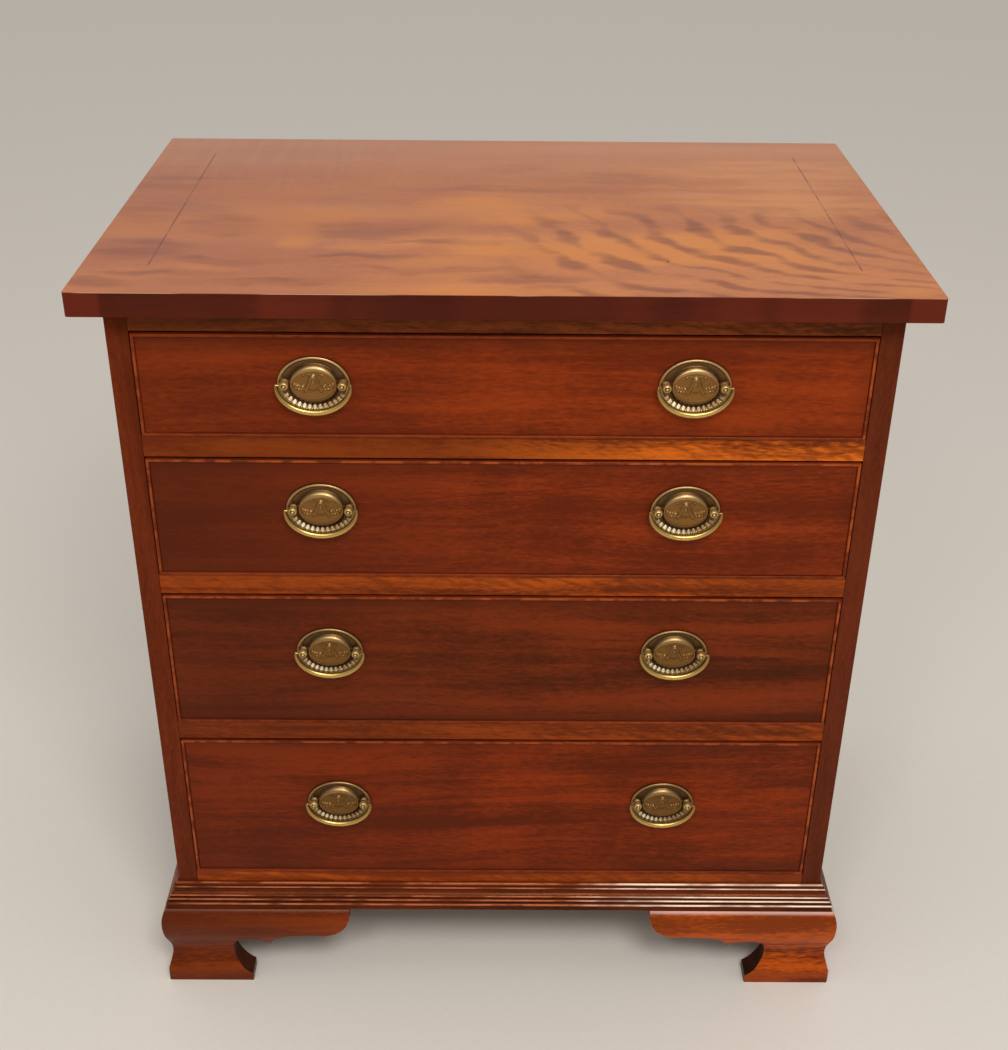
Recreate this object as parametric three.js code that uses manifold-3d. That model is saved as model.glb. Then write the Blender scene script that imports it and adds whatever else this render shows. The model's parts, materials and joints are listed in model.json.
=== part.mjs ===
// A bachelors chest: four graduated long drawers in a mahogany case on ogee bracket feet.
// Millimetres, +Z up, +Y towards the back. Everything is set out from the case: its front face is
// y = 0, its middle is x = 0 and the floor is z = 0. The last lines move the whole chest so that
// the origin lies on the floor under the middle of its outline.
import * as THREE from "three";
import { mergeVertices } from "three/addons/utils/BufferGeometryUtils.js";
import Module from "manifold-3d";

const wasm = await Module();
wasm.setup();

// Driving dimensions of the top and the case
const topWidth = 740;
const topDepth = 478;
const chestHeight = 807;
const topThickness = 22;
const topOverhang = 25;
const topCornerRadius = 3;
const sideThickness = 20;
const backThickness = 8;
const backRebateDepth = 10;
const topRailHeight = 22;
const dividerHeight = 20.5;
const openingHeightShares = [0.181, 0.2249, 0.2733, 0.3208];
const bottomRailReveal = 13.5;
const railDepth = 60;
const dustBoardThickness = 10;
const bottomBoardThickness = 12;
const housingDepth = 8;
const housingSetback = 12;
const glueGap = 0.2;

// Driving dimensions of the base
const mouldingHeight = 28;
const mouldingProjection = 14;
const footHeight = 102;
const footProjection = 20;
const footSpan = 183;
const bracketBacking = 5;
const glueBlockSize = 34;
const rearBoardThickness = 16;
const rearBoardSpan = 150;

// Driving dimensions of the drawers
const drawerBackGap = 15;
const drawerSideGap = 1;
const drawerTopGap = 2;
const drawerFloorGap = 0.4;
const frontThickness = 20;
const frontLap = 9;
const beadWidth = 3.2;
const beadProud = 2;
const beadSeat = 6;
const liningThickness = 9.5;
const liningDrop = 3;
const backDrop = 4;
const bottomThickness = 6;
const bottomRise = 6;
const bottomGrooveDepth = 4;
const tailPitch = 34;
const tailSlope = 0.16;
const tailWidthShare = 0.62;
const stopWidth = 45;
const stopDepth = 18;
const stopThickness = 4;
const stopInset = 130;
const stopGap = 0.3;

// Driving dimensions of the handles
const handleDistance = 335;
const handleHeightShares = [0.54, 0.6, 0.59, 0.56];
const plateWidth = 65;
const plateHeight = 52;
const plateRelief = 5;
const postSpacing = 51;
const postStandoff = 7.5;
const postHeadRadius = 4.25;
const postNeckRadius = 2.6;
const postCollarRadius = 4.4;
const postCollarThickness = 0.6;
const stemRadius = 2;
const stemHoleRadius = 2.6;
const stemEnd = 2;
const nutRadius = 4.6;
const nutThickness = 3;
const pinRadius = 1.2;
const pinHoleRadius = 1.7;
const pinEngagement = 2.4;
const pinEndGap = 0.5;
const bailSpan = 66.3;
const bailDrop = 26.7;
const bailArmRadius = 1.6;
const bailGripRadius = 2.5;

// One overrun serves every cut that has to break through a surface
const overrun = 1;

// Sizes that follow from the ones above
const caseWidth = topWidth - topOverhang - topOverhang;
const caseDepth = topDepth - topOverhang;
const halfCase = caseWidth / 2;
const halfInside = halfCase - sideThickness;
const mouldingTop = footHeight + mouldingHeight;
const bottomRailTop = mouldingTop + bottomRailReveal;
const topUnderside = chestHeight - topThickness;
const topRailUnderside = topUnderside - topRailHeight;
const backFace = caseDepth - backThickness;
const drawerDepth = backFace - drawerBackGap;

// The drawers are graduated: each opening has its share of the height that the dividers leave
const dividersHeight = dividerHeight * (openingHeightShares.length - 1);
const openingsHeight = topRailUnderside - bottomRailTop - dividersHeight;
const openingHeights = openingHeightShares.map((share) => share * openingsHeight);
const sumOf = (list) => list.reduce((sum, value) => sum + value, 0);

// The floor of each drawer opening, from the top drawer down
const openingFloors = openingHeights.map((height, i) => {
  const above = sumOf(openingHeights.slice(0, i + 1)) + dividerHeight * i;
  return topRailUnderside - above;
});

// Finishes
const finish = (colour, roughness, metalness = 0) =>
  new THREE.MeshStandardMaterial({ color: colour, roughness, metalness });
const topMahogany = finish(0xa8623f, 0.3);
const caseMahogany = finish(0x5c2412, 0.4);
const frontMahogany = finish(0x6a2814, 0.35);
const railMahogany = finish(0x8a4416, 0.4);
const beadMahogany = finish(0x8e3d1c, 0.4);
const footMahogany = finish(0x652a14, 0.4);
const liningWood = finish(0xb08a5a, 0.7);
const hiddenWood = finish(0x9c7a50, 0.8);
const plateBrass = finish(0x8a7040, 0.4, 1);
const bailBrass = finish(0xa8863c, 0.35, 1);

// A geometry with its faces turned outwards, whatever order its outline was given in
function outward(geometry) {
  const g = geometry.index ? geometry.toNonIndexed() : geometry;
  const p = g.getAttribute("position");
  const [a, b, c] = [new THREE.Vector3(), new THREE.Vector3(), new THREE.Vector3()];
  let volume = 0;
  for (let i = 0; i < p.count; i += 3) {
    a.fromBufferAttribute(p, i);
    b.fromBufferAttribute(p, i + 1);
    c.fromBufferAttribute(p, i + 2);
    volume += a.dot(b.cross(c));
  }
  if (volume < 0)
    for (let i = 0; i < p.count; i += 3) {
      a.fromBufferAttribute(p, i);
      b.fromBufferAttribute(p, i + 1);
      p.setXYZ(i, b.x, b.y, b.z);
      p.setXYZ(i + 1, a.x, a.y, a.z);
    }
  g.deleteAttribute("normal");
  g.deleteAttribute("uv");
  return g;
}

// A closed geometry from rows of points and the triangles between them
function closed(points, triangles) {
  const g = new THREE.BufferGeometry();
  g.setAttribute("position", new THREE.Float32BufferAttribute(points.flat(), 3));
  g.setIndex(triangles.flat());
  return outward(g);
}

// Solids are joined and cut through these three
function solidOf(geometry) {
  const merged = mergeVertices(outward(geometry));
  const index = merged.index.array;
  const kept = [];
  for (let i = 0; i < index.length; i += 3) {
    const [a, b, c] = [index[i], index[i + 1], index[i + 2]];
    if (a !== b && b !== c && c !== a) kept.push(a, b, c);
  }
  return new wasm.Manifold(
    new wasm.Mesh({
      numProp: 3,
      vertProperties: merged.getAttribute("position").array,
      triVerts: new Uint32Array(kept),
    }),
  );
}

function geometryOf(solid) {
  const mesh = solid.getMesh();
  const g = new THREE.BufferGeometry();
  g.setAttribute("position", new THREE.Float32BufferAttribute(mesh.vertProperties, mesh.numProp));
  g.setIndex(Array.from(mesh.triVerts));
  return g;
}

function shaped(base, { join = [], cut = [], within = [] }) {
  let solid = solidOf(base);
  for (const tool of join) solid = solid.add(solidOf(tool));
  for (const tool of within) solid = solid.intersect(solidOf(tool));
  for (const tool of cut) solid = solid.subtract(solidOf(tool));
  return geometryOf(solid);
}

// A rectangular board between two opposite corners
function board(x, y, z) {
  const size = [x[1] - x[0], y[1] - y[0], z[1] - z[0]];
  const g = new THREE.BoxGeometry(...size);
  return g.translate(x[0] + size[0] / 2, y[0] + size[1] / 2, z[0] + size[2] / 2);
}

// A shape drawn in (y, z) and extruded along x, or drawn in (x, z) and extruded along y
function alongX(shape, from, to, curveSegments) {
  const g = new THREE.ExtrudeGeometry(shape, { depth: to - from, bevelEnabled: false, curveSegments });
  return g.rotateX(Math.PI / 2).rotateZ(Math.PI / 2).translate(from, 0, 0);
}

function alongY(shape, from, to, curveSegments) {
  const g = new THREE.ExtrudeGeometry(shape, { depth: to - from, bevelEnabled: false, curveSegments });
  return g.rotateX(Math.PI / 2).translate(0, to, 0);
}

const polygon = (points) => new THREE.Shape(points.map(([x, y]) => new THREE.Vector2(x, y)));

// The chest and its pieces
const chest = new THREE.Group();
const bothSides = [
  ["left", -1],
  ["right", 1],
];

function addPiece(parent, name, geometry, material) {
  const mesh = new THREE.Mesh(geometry, material);
  mesh.name = name;
  parent.add(mesh);
  return mesh;
}

// The top: one slab with slightly eased corners, resting on the sides and the top rail
function topBoard() {
  const [left, right] = [-topWidth / 2, topWidth / 2];
  const [front, back] = [-topOverhang, caseDepth];
  const r = topCornerRadius;
  const plan = new THREE.Shape();
  plan.moveTo(left + r, front);
  plan.lineTo(right - r, front);
  plan.quadraticCurveTo(right, front, right, front + r);
  plan.lineTo(right, back - r);
  plan.quadraticCurveTo(right, back, right - r, back);
  plan.lineTo(left + r, back);
  plan.quadraticCurveTo(left, back, left, back - r);
  plan.lineTo(left, front + r);
  plan.quadraticCurveTo(left, front, left + r, front);
  const g = new THREE.ExtrudeGeometry(plan, {
    depth: topThickness,
    bevelEnabled: false,
    curveSegments: 3,
  });
  return g.translate(0, 0, topUnderside);
}
addPiece(chest, "top_board", topBoard(), topMahogany);

// Each side is housed on its inner face for the rails, dust boards and bottom, and rebated for
// the back. The housings stop short of the front, so they don't show there.
function caseSide(side) {
  const span = (from, to) => (side < 0 ? [-to, -from] : [from, to]);
  const housing = (floor, height) =>
    board(
      span(halfInside - overrun, halfInside + housingDepth),
      [housingSetback, caseDepth + overrun],
      [floor - glueGap, floor + height + glueGap],
    );
  const housings = openingFloors.map((floor, i) => {
    const lowest = i === openingFloors.length - 1;
    const thickness = lowest ? bottomBoardThickness : dustBoardThickness;
    return housing(floor - thickness, thickness);
  });
  const railHousing = board(
    span(halfInside - overrun, halfInside + housingDepth),
    [housingSetback, railDepth + glueGap],
    [topRailUnderside + topRailHeight / 2 - glueGap, topUnderside + overrun],
  );
  const rebate = board(
    span(halfInside - overrun, halfInside + backRebateDepth),
    [backFace - glueGap, caseDepth + overrun],
    [footHeight - overrun, topUnderside + overrun],
  );
  const plain = board(
    span(halfInside, halfCase),
    [0, caseDepth],
    [footHeight, topUnderside - glueGap],
  );
  return shaped(plain, { cut: [...housings, railHousing, rebate] });
}
addPiece(chest, "side_left", caseSide(-1), caseMahogany);
addPiece(chest, "side_right", caseSide(1), caseMahogany);

// A rail across the front: shoulders against the sides, and a thinner tenon into their housings
const shoulder = halfInside - glueGap;
const tenonEnd = halfInside + housingDepth - glueGap;

function crossRail(low, high, tenonLow, tenonHigh, depth) {
  const body = board([-shoulder, shoulder], [0, depth], [low, high]);
  const tenon = board(
    [-tenonEnd, tenonEnd],
    [housingSetback + glueGap, depth - glueGap],
    [tenonLow, tenonHigh],
  );
  return shaped(body, { join: [tenon] });
}

const topRail = crossRail(
  topRailUnderside,
  topUnderside - glueGap,
  topRailUnderside + topRailHeight / 2,
  topUnderside - glueGap - glueGap,
  railDepth,
);
addPiece(chest, "top_rail", topRail, railMahogany);

// Two small blocks glued on a rail catch the inside of the drawer's front, so that it stops flush
function withStops(rail, floor) {
  const stops = [-1, 1].map((side) => {
    const middle = side * (halfInside - stopInset);
    return board(
      [middle - stopWidth / 2, middle + stopWidth / 2],
      [frontThickness + stopGap, frontThickness + stopGap + stopDepth],
      [floor - stopThickness, floor + stopThickness],
    );
  });
  return shaped(rail, { join: stops });
}

// Between the drawers: a mahogany divider in front, and a dust board behind it at the same level
const dustBoardFront = railDepth + glueGap;
const dustBoardBack = backFace - glueGap - glueGap;

openingFloors.forEach((floor, i) => {
  if (i === openingFloors.length - 1) return;
  const rail = crossRail(
    floor - dividerHeight,
    floor,
    floor - dustBoardThickness,
    floor - glueGap,
    railDepth,
  );
  addPiece(chest, `divider_${i + 1}`, withStops(rail, floor), railMahogany);
  const dust = board(
    [-tenonEnd, tenonEnd],
    [dustBoardFront, dustBoardBack],
    [floor - dustBoardThickness, floor],
  );
  addPiece(chest, `dust_board_${i + 1}`, dust, hiddenWood);
});

// The bottom rail stands behind the base moulding and carries the lowest drawer with the bottom
const bottomRail = crossRail(
  footHeight,
  bottomRailTop,
  bottomRailTop - bottomBoardThickness,
  bottomRailTop - glueGap,
  railDepth,
);
addPiece(chest, "bottom_rail", withStops(bottomRail, bottomRailTop), railMahogany);
const bottomBoard = board(
  [-tenonEnd, tenonEnd],
  [dustBoardFront, dustBoardBack],
  [bottomRailTop - bottomBoardThickness, bottomRailTop],
);
addPiece(chest, "bottom_board", bottomBoard, hiddenWood);

// The back lies in the rebates of the sides, from the bottom up to the top
const backPanel = board(
  [-halfInside - backRebateDepth + glueGap, halfInside + backRebateDepth - glueGap],
  [backFace, caseDepth - glueGap],
  [footHeight, topUnderside - glueGap],
);
addPiece(chest, "back_panel", backPanel, hiddenWood);

// A strip of one section run between two ends, each end cut to the line that its function gives.
// Section points are [projection, height], and place() turns length, projection and height into
// a point of the chest.
function strip(section, startAt, endAt, place) {
  const flat = section.map(([p, z]) => new THREE.Vector2(p, z));
  if (THREE.ShapeUtils.isClockWise(flat)) flat.reverse();
  const n = flat.length;
  const points = [
    ...flat.map((v) => place(startAt(v.x), v.x, v.y)),
    ...flat.map((v) => place(endAt(v.x), v.x, v.y)),
  ];
  const triangles = [];
  for (const [a, b, c] of THREE.ShapeUtils.triangulateShape(flat, []))
    triangles.push([a, c, b], [n + a, n + b, n + c]);
  for (let i = 0; i < n; i++) {
    const j = (i + 1) % n;
    triangles.push([i, j, n + j], [i, n + j, n + i]);
  }
  return closed(points, triangles);
}

// The base moulding: two fine reeds, a cove, three reeds that step outwards, and a thin fillet.
// Each row of shares is a curve's control point and its end, out from the case and up.
const mouldingStartShares = [0, 1];
const mouldingCurveShares = [
  [0.28, 1, 0.28, 0.9],
  [0.37, 0.88, 0.37, 0.735],
  [0.37, 0.6, 0.52, 0.565],
  [0.62, 0.56, 0.635, 0.425],
  [0.77, 0.42, 0.79, 0.27],
  [0.95, 0.26, 0.95, 0.08],
  [0.95, 0.04, 0.985, 0],
];
const mouldingCurveSteps = 4;

function mouldingSection() {
  const at = (p, z) => [p * mouldingProjection, footHeight + z * mouldingHeight];
  const outline = new THREE.Shape();
  outline.moveTo(...at(...mouldingStartShares));
  for (const [cp, cz, p, z] of mouldingCurveShares) outline.quadraticCurveTo(...at(cp, cz), ...at(p, z));
  outline.lineTo(...at(0, 0));
  const points = outline.getPoints(mouldingCurveSteps).map((v) => [v.x + glueGap, v.y]);
  return points.filter(([p, z], i) => i === 0 || p !== points[i - 1][0] || z !== points[i - 1][1]);
}

const section = mouldingSection();
const mitre = (p) => halfCase + p - glueGap;
addPiece(
  chest,
  "base_moulding_front",
  strip(section, (p) => -mitre(p), mitre, (a, p, z) => [a, -p, z]),
  caseMahogany,
);
for (const [name, side] of bothSides) {
  const returned = strip(
    section,
    (p) => -p + glueGap,
    () => caseDepth,
    (a, p, z) => [side * (halfCase + p), a, z],
  );
  addPiece(chest, `base_moulding_${name}`, returned, caseMahogany);
}

// The feet: brackets of ogee section, mitred at the corner and sawn to a scrolled outline.
// The section's shares are out from the case and up from the floor.
const ogeeShares = [
  [0.71, 1],
  [0.83, 0.975],
  [0.925, 0.92],
  [0.985, 0.86],
  [1, 0.79],
  [0.98, 0.71],
  [0.92, 0.635],
  [0.8, 0.56],
  [0.7, 0.5],
  [0.65, 0.44],
  [0.66, 0.375],
  [0.74, 0.3],
  [0.86, 0.22],
  [0.94, 0.165],
  [0.945, 0],
];

// The outline's curves from the floor to the wing's tip: control point and end, along and up
const scrollStartShares = [0.4, 0];
const scrollCurveShares = [
  [0.4, 0.05, 0.4, 0.1],
  [0.335, 0.17, 0.3, 0.34],
  [0.275, 0.54, 0.35, 0.575],
  [0.43, 0.61, 0.52, 0.5],
  [0.545, 0.62, 0.62, 0.645],
  [0.76, 0.67, 0.86, 0.66],
  [0.98, 0.71, 1, 0.93],
];
const scrollCurveSteps = 4;
const rearBoardShares = [
  [0.36, 0],
  [0.36, 0.3],
  [0.5, 0.62],
  [1, 0.7],
  [1, 1],
];

const footTop = footHeight - glueGap;
const ogeeSection = [
  ...ogeeShares.map(([p, z]) => [p * footProjection, Math.min(z * footHeight, footTop)]),
  [-bracketBacking, 0],
  [-bracketBacking, footTop],
];

function scrollOutline() {
  const at = (u, z) => [u * footSpan, z * footHeight];
  const outline = new THREE.Shape();
  outline.moveTo(-footProjection - overrun, -overrun);
  outline.lineTo(scrollStartShares[0] * footSpan, -overrun);
  outline.lineTo(...at(...scrollStartShares));
  for (const [cu, cz, u, z] of scrollCurveShares) outline.quadraticCurveTo(...at(cu, cz), ...at(u, z));
  outline.lineTo(footSpan, footHeight + overrun);
  outline.lineTo(-footProjection - overrun, footHeight + overrun);
  return outline;
}

// One bracket along +u from the case's corner, with its face towards -v
const bracketDepth = [-footProjection - overrun, bracketBacking + overrun];

function bracket(startAt) {
  const blank = strip(ogeeSection, startAt, () => footSpan + overrun, (a, p, z) => [a, -p, z]);
  return shaped(blank, { within: [alongY(scrollOutline(), ...bracketDepth, scrollCurveSteps)] });
}

// Turned to run along +v with its face towards -u, and squared where it meets the case's back
const turnedBracket = (geometry) => outward(geometry.applyMatrix4(
  new THREE.Matrix4().set(0, 1, 0, 0, 1, 0, 0, 0, 0, 0, 1, 0, 0, 0, 0, 1),
));

// The block glued in the corner behind the brackets, which carries the weight
const glueBlock = () => board([0, glueBlockSize], [0, glueBlockSize], [0, footTop]);

function frontFoot() {
  const mitred = (p) => -p;
  return shaped(bracket(mitred), { join: [turnedBracket(bracket(mitred)), glueBlock()] });
}

// A rear foot has one ogee bracket on the side and a plain shaped board across the back
function rearFoot() {
  const sidePiece = turnedBracket(bracket(() => 0));
  const outline = polygon([
    [-bracketBacking, 0],
    ...rearBoardShares.map(([u, z]) => [u * rearBoardSpan, z * footTop]),
    [-bracketBacking, footTop],
  ]);
  const backPiece = alongY(outline, 0, rearBoardThickness);
  return shaped(sidePiece, { join: [backPiece, glueBlock()] });
}

// The feet are drawn for the front left corner; the others are turned by mirroring
const feet = [
  ["foot_front_left", frontFoot(), -1, 1],
  ["foot_front_right", frontFoot(), 1, 1],
  ["foot_rear_left", rearFoot(), -1, -1],
  ["foot_rear_right", rearFoot(), 1, -1],
];
for (const [name, geometry, side, towards] of feet) {
  const foot = addPiece(chest, name, geometry, footMahogany);
  foot.position.set(side * halfCase, towards > 0 ? 0 : caseDepth, 0);
  foot.scale.set(-side, towards, 1);
}

// Dovetails are cut on the ends of the drawer sides. One tail is [middle, half width at the
// shoulder, half width at the end].
function tailsBetween(low, high, length) {
  const count = Math.max(2, Math.round((high - low) / tailPitch));
  const pitch = (high - low) / count;
  const wide = (pitch * tailWidthShare) / 2;
  return Array.from({ length: count }, (_, i) => [
    low + pitch * i + pitch / 2,
    wide - tailSlope * length,
    wide,
  ]);
}

// Sockets that take the tails, cut into the drawer's front or back from its end
function sockets(tails, shoulderY, endY, from, to) {
  const beyond = shoulderY < endY ? 1 : -1;
  return tails.map(([middle, narrow, wide]) =>
    alongX(
      polygon([
        [shoulderY - beyond * overrun, middle - narrow - glueGap],
        [shoulderY - beyond * overrun, middle + narrow + glueGap],
        [endY + beyond * glueGap, middle + wide + glueGap],
        [endY + beyond * glueGap, middle - wide - glueGap],
      ]),
      from,
      to,
    ),
  );
}

const drawerWidth = halfInside + halfInside - drawerSideGap - drawerSideGap;
const halfDrawer = drawerWidth / 2;
const liningInside = halfDrawer - liningThickness;
const bottomTop = bottomRise + bottomThickness;
const bottomEdge = liningInside + bottomGrooveDepth - glueGap;

// The bead round a drawer front, mitred at its corners, with a rounded nose.
// Shares are across the bead from its outer edge, and along its depth from the nose.
const beadShares = [
  [0, 1],
  [0, 0.22],
  [0.2, 0.06],
  [0.5, 0],
  [0.8, 0.06],
  [1, 0.22],
  [1, 1],
];

function cockbead(height) {
  const depth = beadProud + beadSeat;
  const corners = [
    [-1, 0],
    [1, 0],
    [1, 1],
    [-1, 1],
  ];
  const rows = corners.map(([side, top]) =>
    beadShares.map(([across, along]) => {
      const inset = across * beadWidth;
      return [side * (halfDrawer - inset), along * depth - beadProud, top ? height - inset : inset];
    }),
  );
  const n = beadShares.length;
  const triangles = [];
  for (let c = 0; c < corners.length; c++)
    for (let i = 0; i < n; i++) {
      const [a, b] = [c * n + i, c * n + ((i + 1) % n)];
      const next = ((c + 1) % corners.length) * n;
      const [d, e] = [next + i, next + ((i + 1) % n)];
      triangles.push([a, b, e], [a, e, d]);
    }
  return closed(rows.flat(), triangles);
}

// The handle's plate: rim, hollow band and raised middle. Shares are out from the middle of the
// oval, and of the relief.
const plateShares = [
  [0, 1],
  [0.53, 0.95],
  [0.63, 0.78],
  [0.69, 0.34],
  [0.79, 0.24],
  [0.89, 0.3],
  [0.95, 0.54],
  [1, 0.3],
  [1, 0],
  [0, 0],
];
const plateSegments = 24;
const postSegments = 8;
const headShares = [-0.8, -0.4, 0, 0.4, 0.75];

// Turned work: a profile of [radius, height], with the height running out of the drawer front
const turned = (profile, segments) =>
  outward(
    new THREE.LatheGeometry(
      profile.map(([r, h]) => new THREE.Vector2(r, h)),
      segments,
    ).rotateX(Math.PI),
  );

function handlePlate() {
  const plate = turned(
    plateShares.map(([r, h]) => [r, h * plateRelief + glueGap]),
    plateSegments,
  ).scale(plateWidth / 2, 1, plateHeight / 2);
  const nutSeat = -frontThickness - glueGap;
  const nutBack = nutSeat - nutThickness;
  const collarTop = plateRelief / 2 + postCollarThickness;
  const head = headShares.map((share) => [
    postHeadRadius * Math.sqrt(1 - share * share),
    postStandoff + share * postHeadRadius,
  ]);
  const profile = [
    [0, nutBack - stemEnd],
    [stemRadius, nutBack - stemEnd],
    [stemRadius, nutBack],
    [nutRadius, nutBack],
    [nutRadius, nutSeat],
    [stemRadius, nutSeat],
    [stemRadius, glueGap + glueGap],
    [postCollarRadius, glueGap + glueGap],
    [postCollarRadius, collarTop],
    [postNeckRadius, collarTop],
    ...head,
    [0, postStandoff + postHeadRadius],
  ];
  const posts = [-1, 1].map((side) => turned(profile, postSegments).translate(side * (postSpacing / 2), 0, 0));
  const holes = [-1, 1].map((side) => {
    const outer = postSpacing / 2 + postHeadRadius + overrun;
    const inner = outer - overrun - pinEngagement - pinEndGap;
    const hole = new THREE.CylinderGeometry(pinHoleRadius, pinHoleRadius, outer - inner, postSegments);
    return hole.rotateZ(Math.PI / 2).translate(side * (inner + outer) / 2, -postStandoff, 0);
  });
  return shaped(plate, { join: posts, cut: holes });
}

// The bail: a bar in one plane, thin at its pins and full at the grip. Its points are
// [x, z, radius] from the pivot line.
const bailGripSteps = 14;
const bailSides = 6;
const bailEndShare = 0.12;

function bailPoints() {
  const pinEnd = postSpacing / 2 + postHeadRadius - pinEngagement;
  const pinRoot = bailSpan / 2 - bailArmRadius - bailArmRadius;
  const points = [
    [-pinEnd, 0, pinRadius],
    [-pinRoot, 0, pinRadius],
  ];
  for (let i = 0; i <= bailGripSteps; i++) {
    const turn = Math.PI * (bailEndShare / 2 + (1 - bailEndShare) * (i / bailGripSteps));
    const fullness = Math.sin(turn);
    points.push([
      (-Math.cos(turn) * bailSpan) / 2,
      -fullness * bailDrop,
      bailArmRadius + (bailGripRadius - bailArmRadius) * fullness,
    ]);
  }
  points.splice(2, 0, [-bailSpan / 2, 0, bailArmRadius]);
  points.push([bailSpan / 2, 0, bailArmRadius], [pinRoot, 0, pinRadius], [pinEnd, 0, pinRadius]);
  return points;
}

function bail() {
  const path = bailPoints();
  const middle = path.map(([x, z]) => new THREE.Vector2(x, z));
  const rows = path.map(([x, z, radius], i) => {
    const before = middle[Math.max(i - 1, 0)];
    const after = middle[Math.min(i + 1, path.length - 1)];
    const here = middle[i];
    const arrive = here.clone().sub(before).normalize();
    const leave = after.clone().sub(here).normalize();
    const along = arrive.add(leave).normalize();
    const across = new THREE.Vector2(-along.y, along.x);
    return Array.from({ length: bailSides }, (_, k) => {
      const turn = (2 * Math.PI * (k + 0.5)) / bailSides;
      const reach = Math.cos(turn) * radius;
      return [x + across.x * reach, Math.sin(turn) * radius, z + across.y * reach];
    });
  });
  const triangles = [];
  for (let i = 0; i + 1 < rows.length; i++)
    for (let k = 0; k < bailSides; k++) {
      const next = (k + 1) % bailSides;
      const [a, b] = [i * bailSides + k, i * bailSides + next];
      triangles.push([a, b, b + bailSides], [a, b + bailSides, a + bailSides]);
    }
  const last = (rows.length - 1) * bailSides;
  for (let k = 1; k + 1 < bailSides; k++) {
    triangles.push([0, k + 1, k]);
    triangles.push([last, last + k, last + k + 1]);
  }
  return closed(rows.flat(), triangles);
}

// A drawer: front, bead, two dovetailed sides, back and bottom, with a handle at each end
function addDrawer(number, openingHeight, floor, heightShare) {
  const drawer = new THREE.Group();
  drawer.position.z = floor + drawerFloorGap;
  chest.add(drawer);
  const height = openingHeight - drawerTopGap - drawerFloorGap;
  const liningTop = height - liningDrop;
  const backTop = liningTop - backDrop;
  const backBottom = bottomTop + glueGap;
  const handleHeight = height * heightShare;

  const frontTails = tailsBetween(bottomRise / 2, liningTop, frontThickness - frontLap);
  const backTails = tailsBetween(backBottom, backTop, liningThickness);
  const backFront = drawerDepth - liningThickness;
  const shoulderFront = frontThickness + glueGap;
  const shoulderBack = backFront - glueGap;

  const seat = beadWidth + glueGap;
  const face = board(
    [-halfDrawer + seat, halfDrawer - seat],
    [0, frontThickness],
    [seat, height - seat],
  );
  const body = board(
    [-halfDrawer, halfDrawer],
    [beadSeat + glueGap, frontThickness],
    [0, height],
  );
  const groove = board(
    [-bottomEdge - glueGap, bottomEdge + glueGap],
    [frontThickness - bottomGrooveDepth, frontThickness + overrun],
    [bottomRise - glueGap, bottomTop + glueGap],
  );
  const socketEnds = [
    [-halfDrawer - overrun, -liningInside + glueGap],
    [liningInside - glueGap, halfDrawer + overrun],
  ];
  const frontSockets = socketEnds.flatMap(([from, to]) =>
    sockets(frontTails, frontThickness, frontLap, from, to),
  );
  const stemHoles = [-1, 1].flatMap((end) =>
    [-1, 1].map((side) => {
      const x = (end * handleDistance) / 2 + (side * postSpacing) / 2;
      const length = frontThickness + overrun + overrun;
      const hole = new THREE.CylinderGeometry(stemHoleRadius, stemHoleRadius, length, postSegments);
      return hole.translate(x, frontThickness / 2, handleHeight);
    }),
  );
  const front = shaped(face, { join: [body], cut: [groove, ...frontSockets, ...stemHoles] });
  addPiece(drawer, `drawer_${number}_front`, front, frontMahogany);
  addPiece(drawer, `drawer_${number}_cockbead`, cockbead(height), beadMahogany);

  // The side's outline, up the back end and down the front end, with the tails at both
  const outline = [
    [shoulderFront, 0],
    [drawerDepth, 0],
    [drawerDepth, backBottom - glueGap],
    [shoulderBack, backBottom - glueGap],
  ];
  for (const [middle, narrow, wide] of backTails) {
    outline.push([shoulderBack, middle - narrow], [drawerDepth, middle - wide]);
    outline.push([drawerDepth, middle + wide], [shoulderBack, middle + narrow]);
  }
  outline.push([shoulderBack, liningTop], [shoulderFront, liningTop]);
  for (const [middle, narrow, wide] of [...frontTails].reverse()) {
    outline.push([shoulderFront, middle + narrow], [frontLap, middle + wide]);
    outline.push([frontLap, middle - wide], [shoulderFront, middle - narrow]);
  }
  for (const [name, side] of bothSides) {
    const [from, to] = side < 0 ? [-halfDrawer, -liningInside] : [liningInside, halfDrawer];
    const grooveX = side < 0
      ? [-bottomEdge - glueGap, -liningInside + overrun]
      : [liningInside - overrun, bottomEdge + glueGap];
    const sideGroove = board(
      grooveX,
      [frontLap - overrun, drawerDepth + overrun],
      [bottomRise - glueGap, bottomTop + glueGap],
    );
    const lining = shaped(alongX(polygon(outline), from, to), { cut: [sideGroove] });
    addPiece(drawer, `drawer_${number}_side_${name}`, lining, liningWood);
  }

  const plainBack = board(
    [-halfDrawer, halfDrawer],
    [backFront, drawerDepth - glueGap],
    [backBottom, backTop],
  );
  const backSockets = socketEnds.flatMap(([from, to]) =>
    sockets(backTails, backFront, drawerDepth, from, to),
  );
  addPiece(drawer, `drawer_${number}_back`, shaped(plainBack, { cut: backSockets }), liningWood);

  const bottom = board(
    [-bottomEdge, bottomEdge],
    [frontThickness - bottomGrooveDepth + glueGap, drawerDepth - glueGap],
    [bottomRise, bottomTop],
  );
  addPiece(drawer, `drawer_${number}_bottom`, bottom, liningWood);

  for (const [name, end] of bothSides) {
    const handle = new THREE.Group();
    handle.position.set((end * handleDistance) / 2, 0, handleHeight);
    drawer.add(handle);
    addPiece(handle, `handle_plate_${number}_${name}`, handlePlate(), plateBrass);
    const grip = addPiece(handle, `handle_bail_${number}_${name}`, bail(), bailBrass);
    grip.position.y = -postStandoff;
  }
}

openingHeights.forEach((height, i) => {
  addDrawer(i + 1, height, openingFloors[i], handleHeightShares[i]);
});

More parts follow.
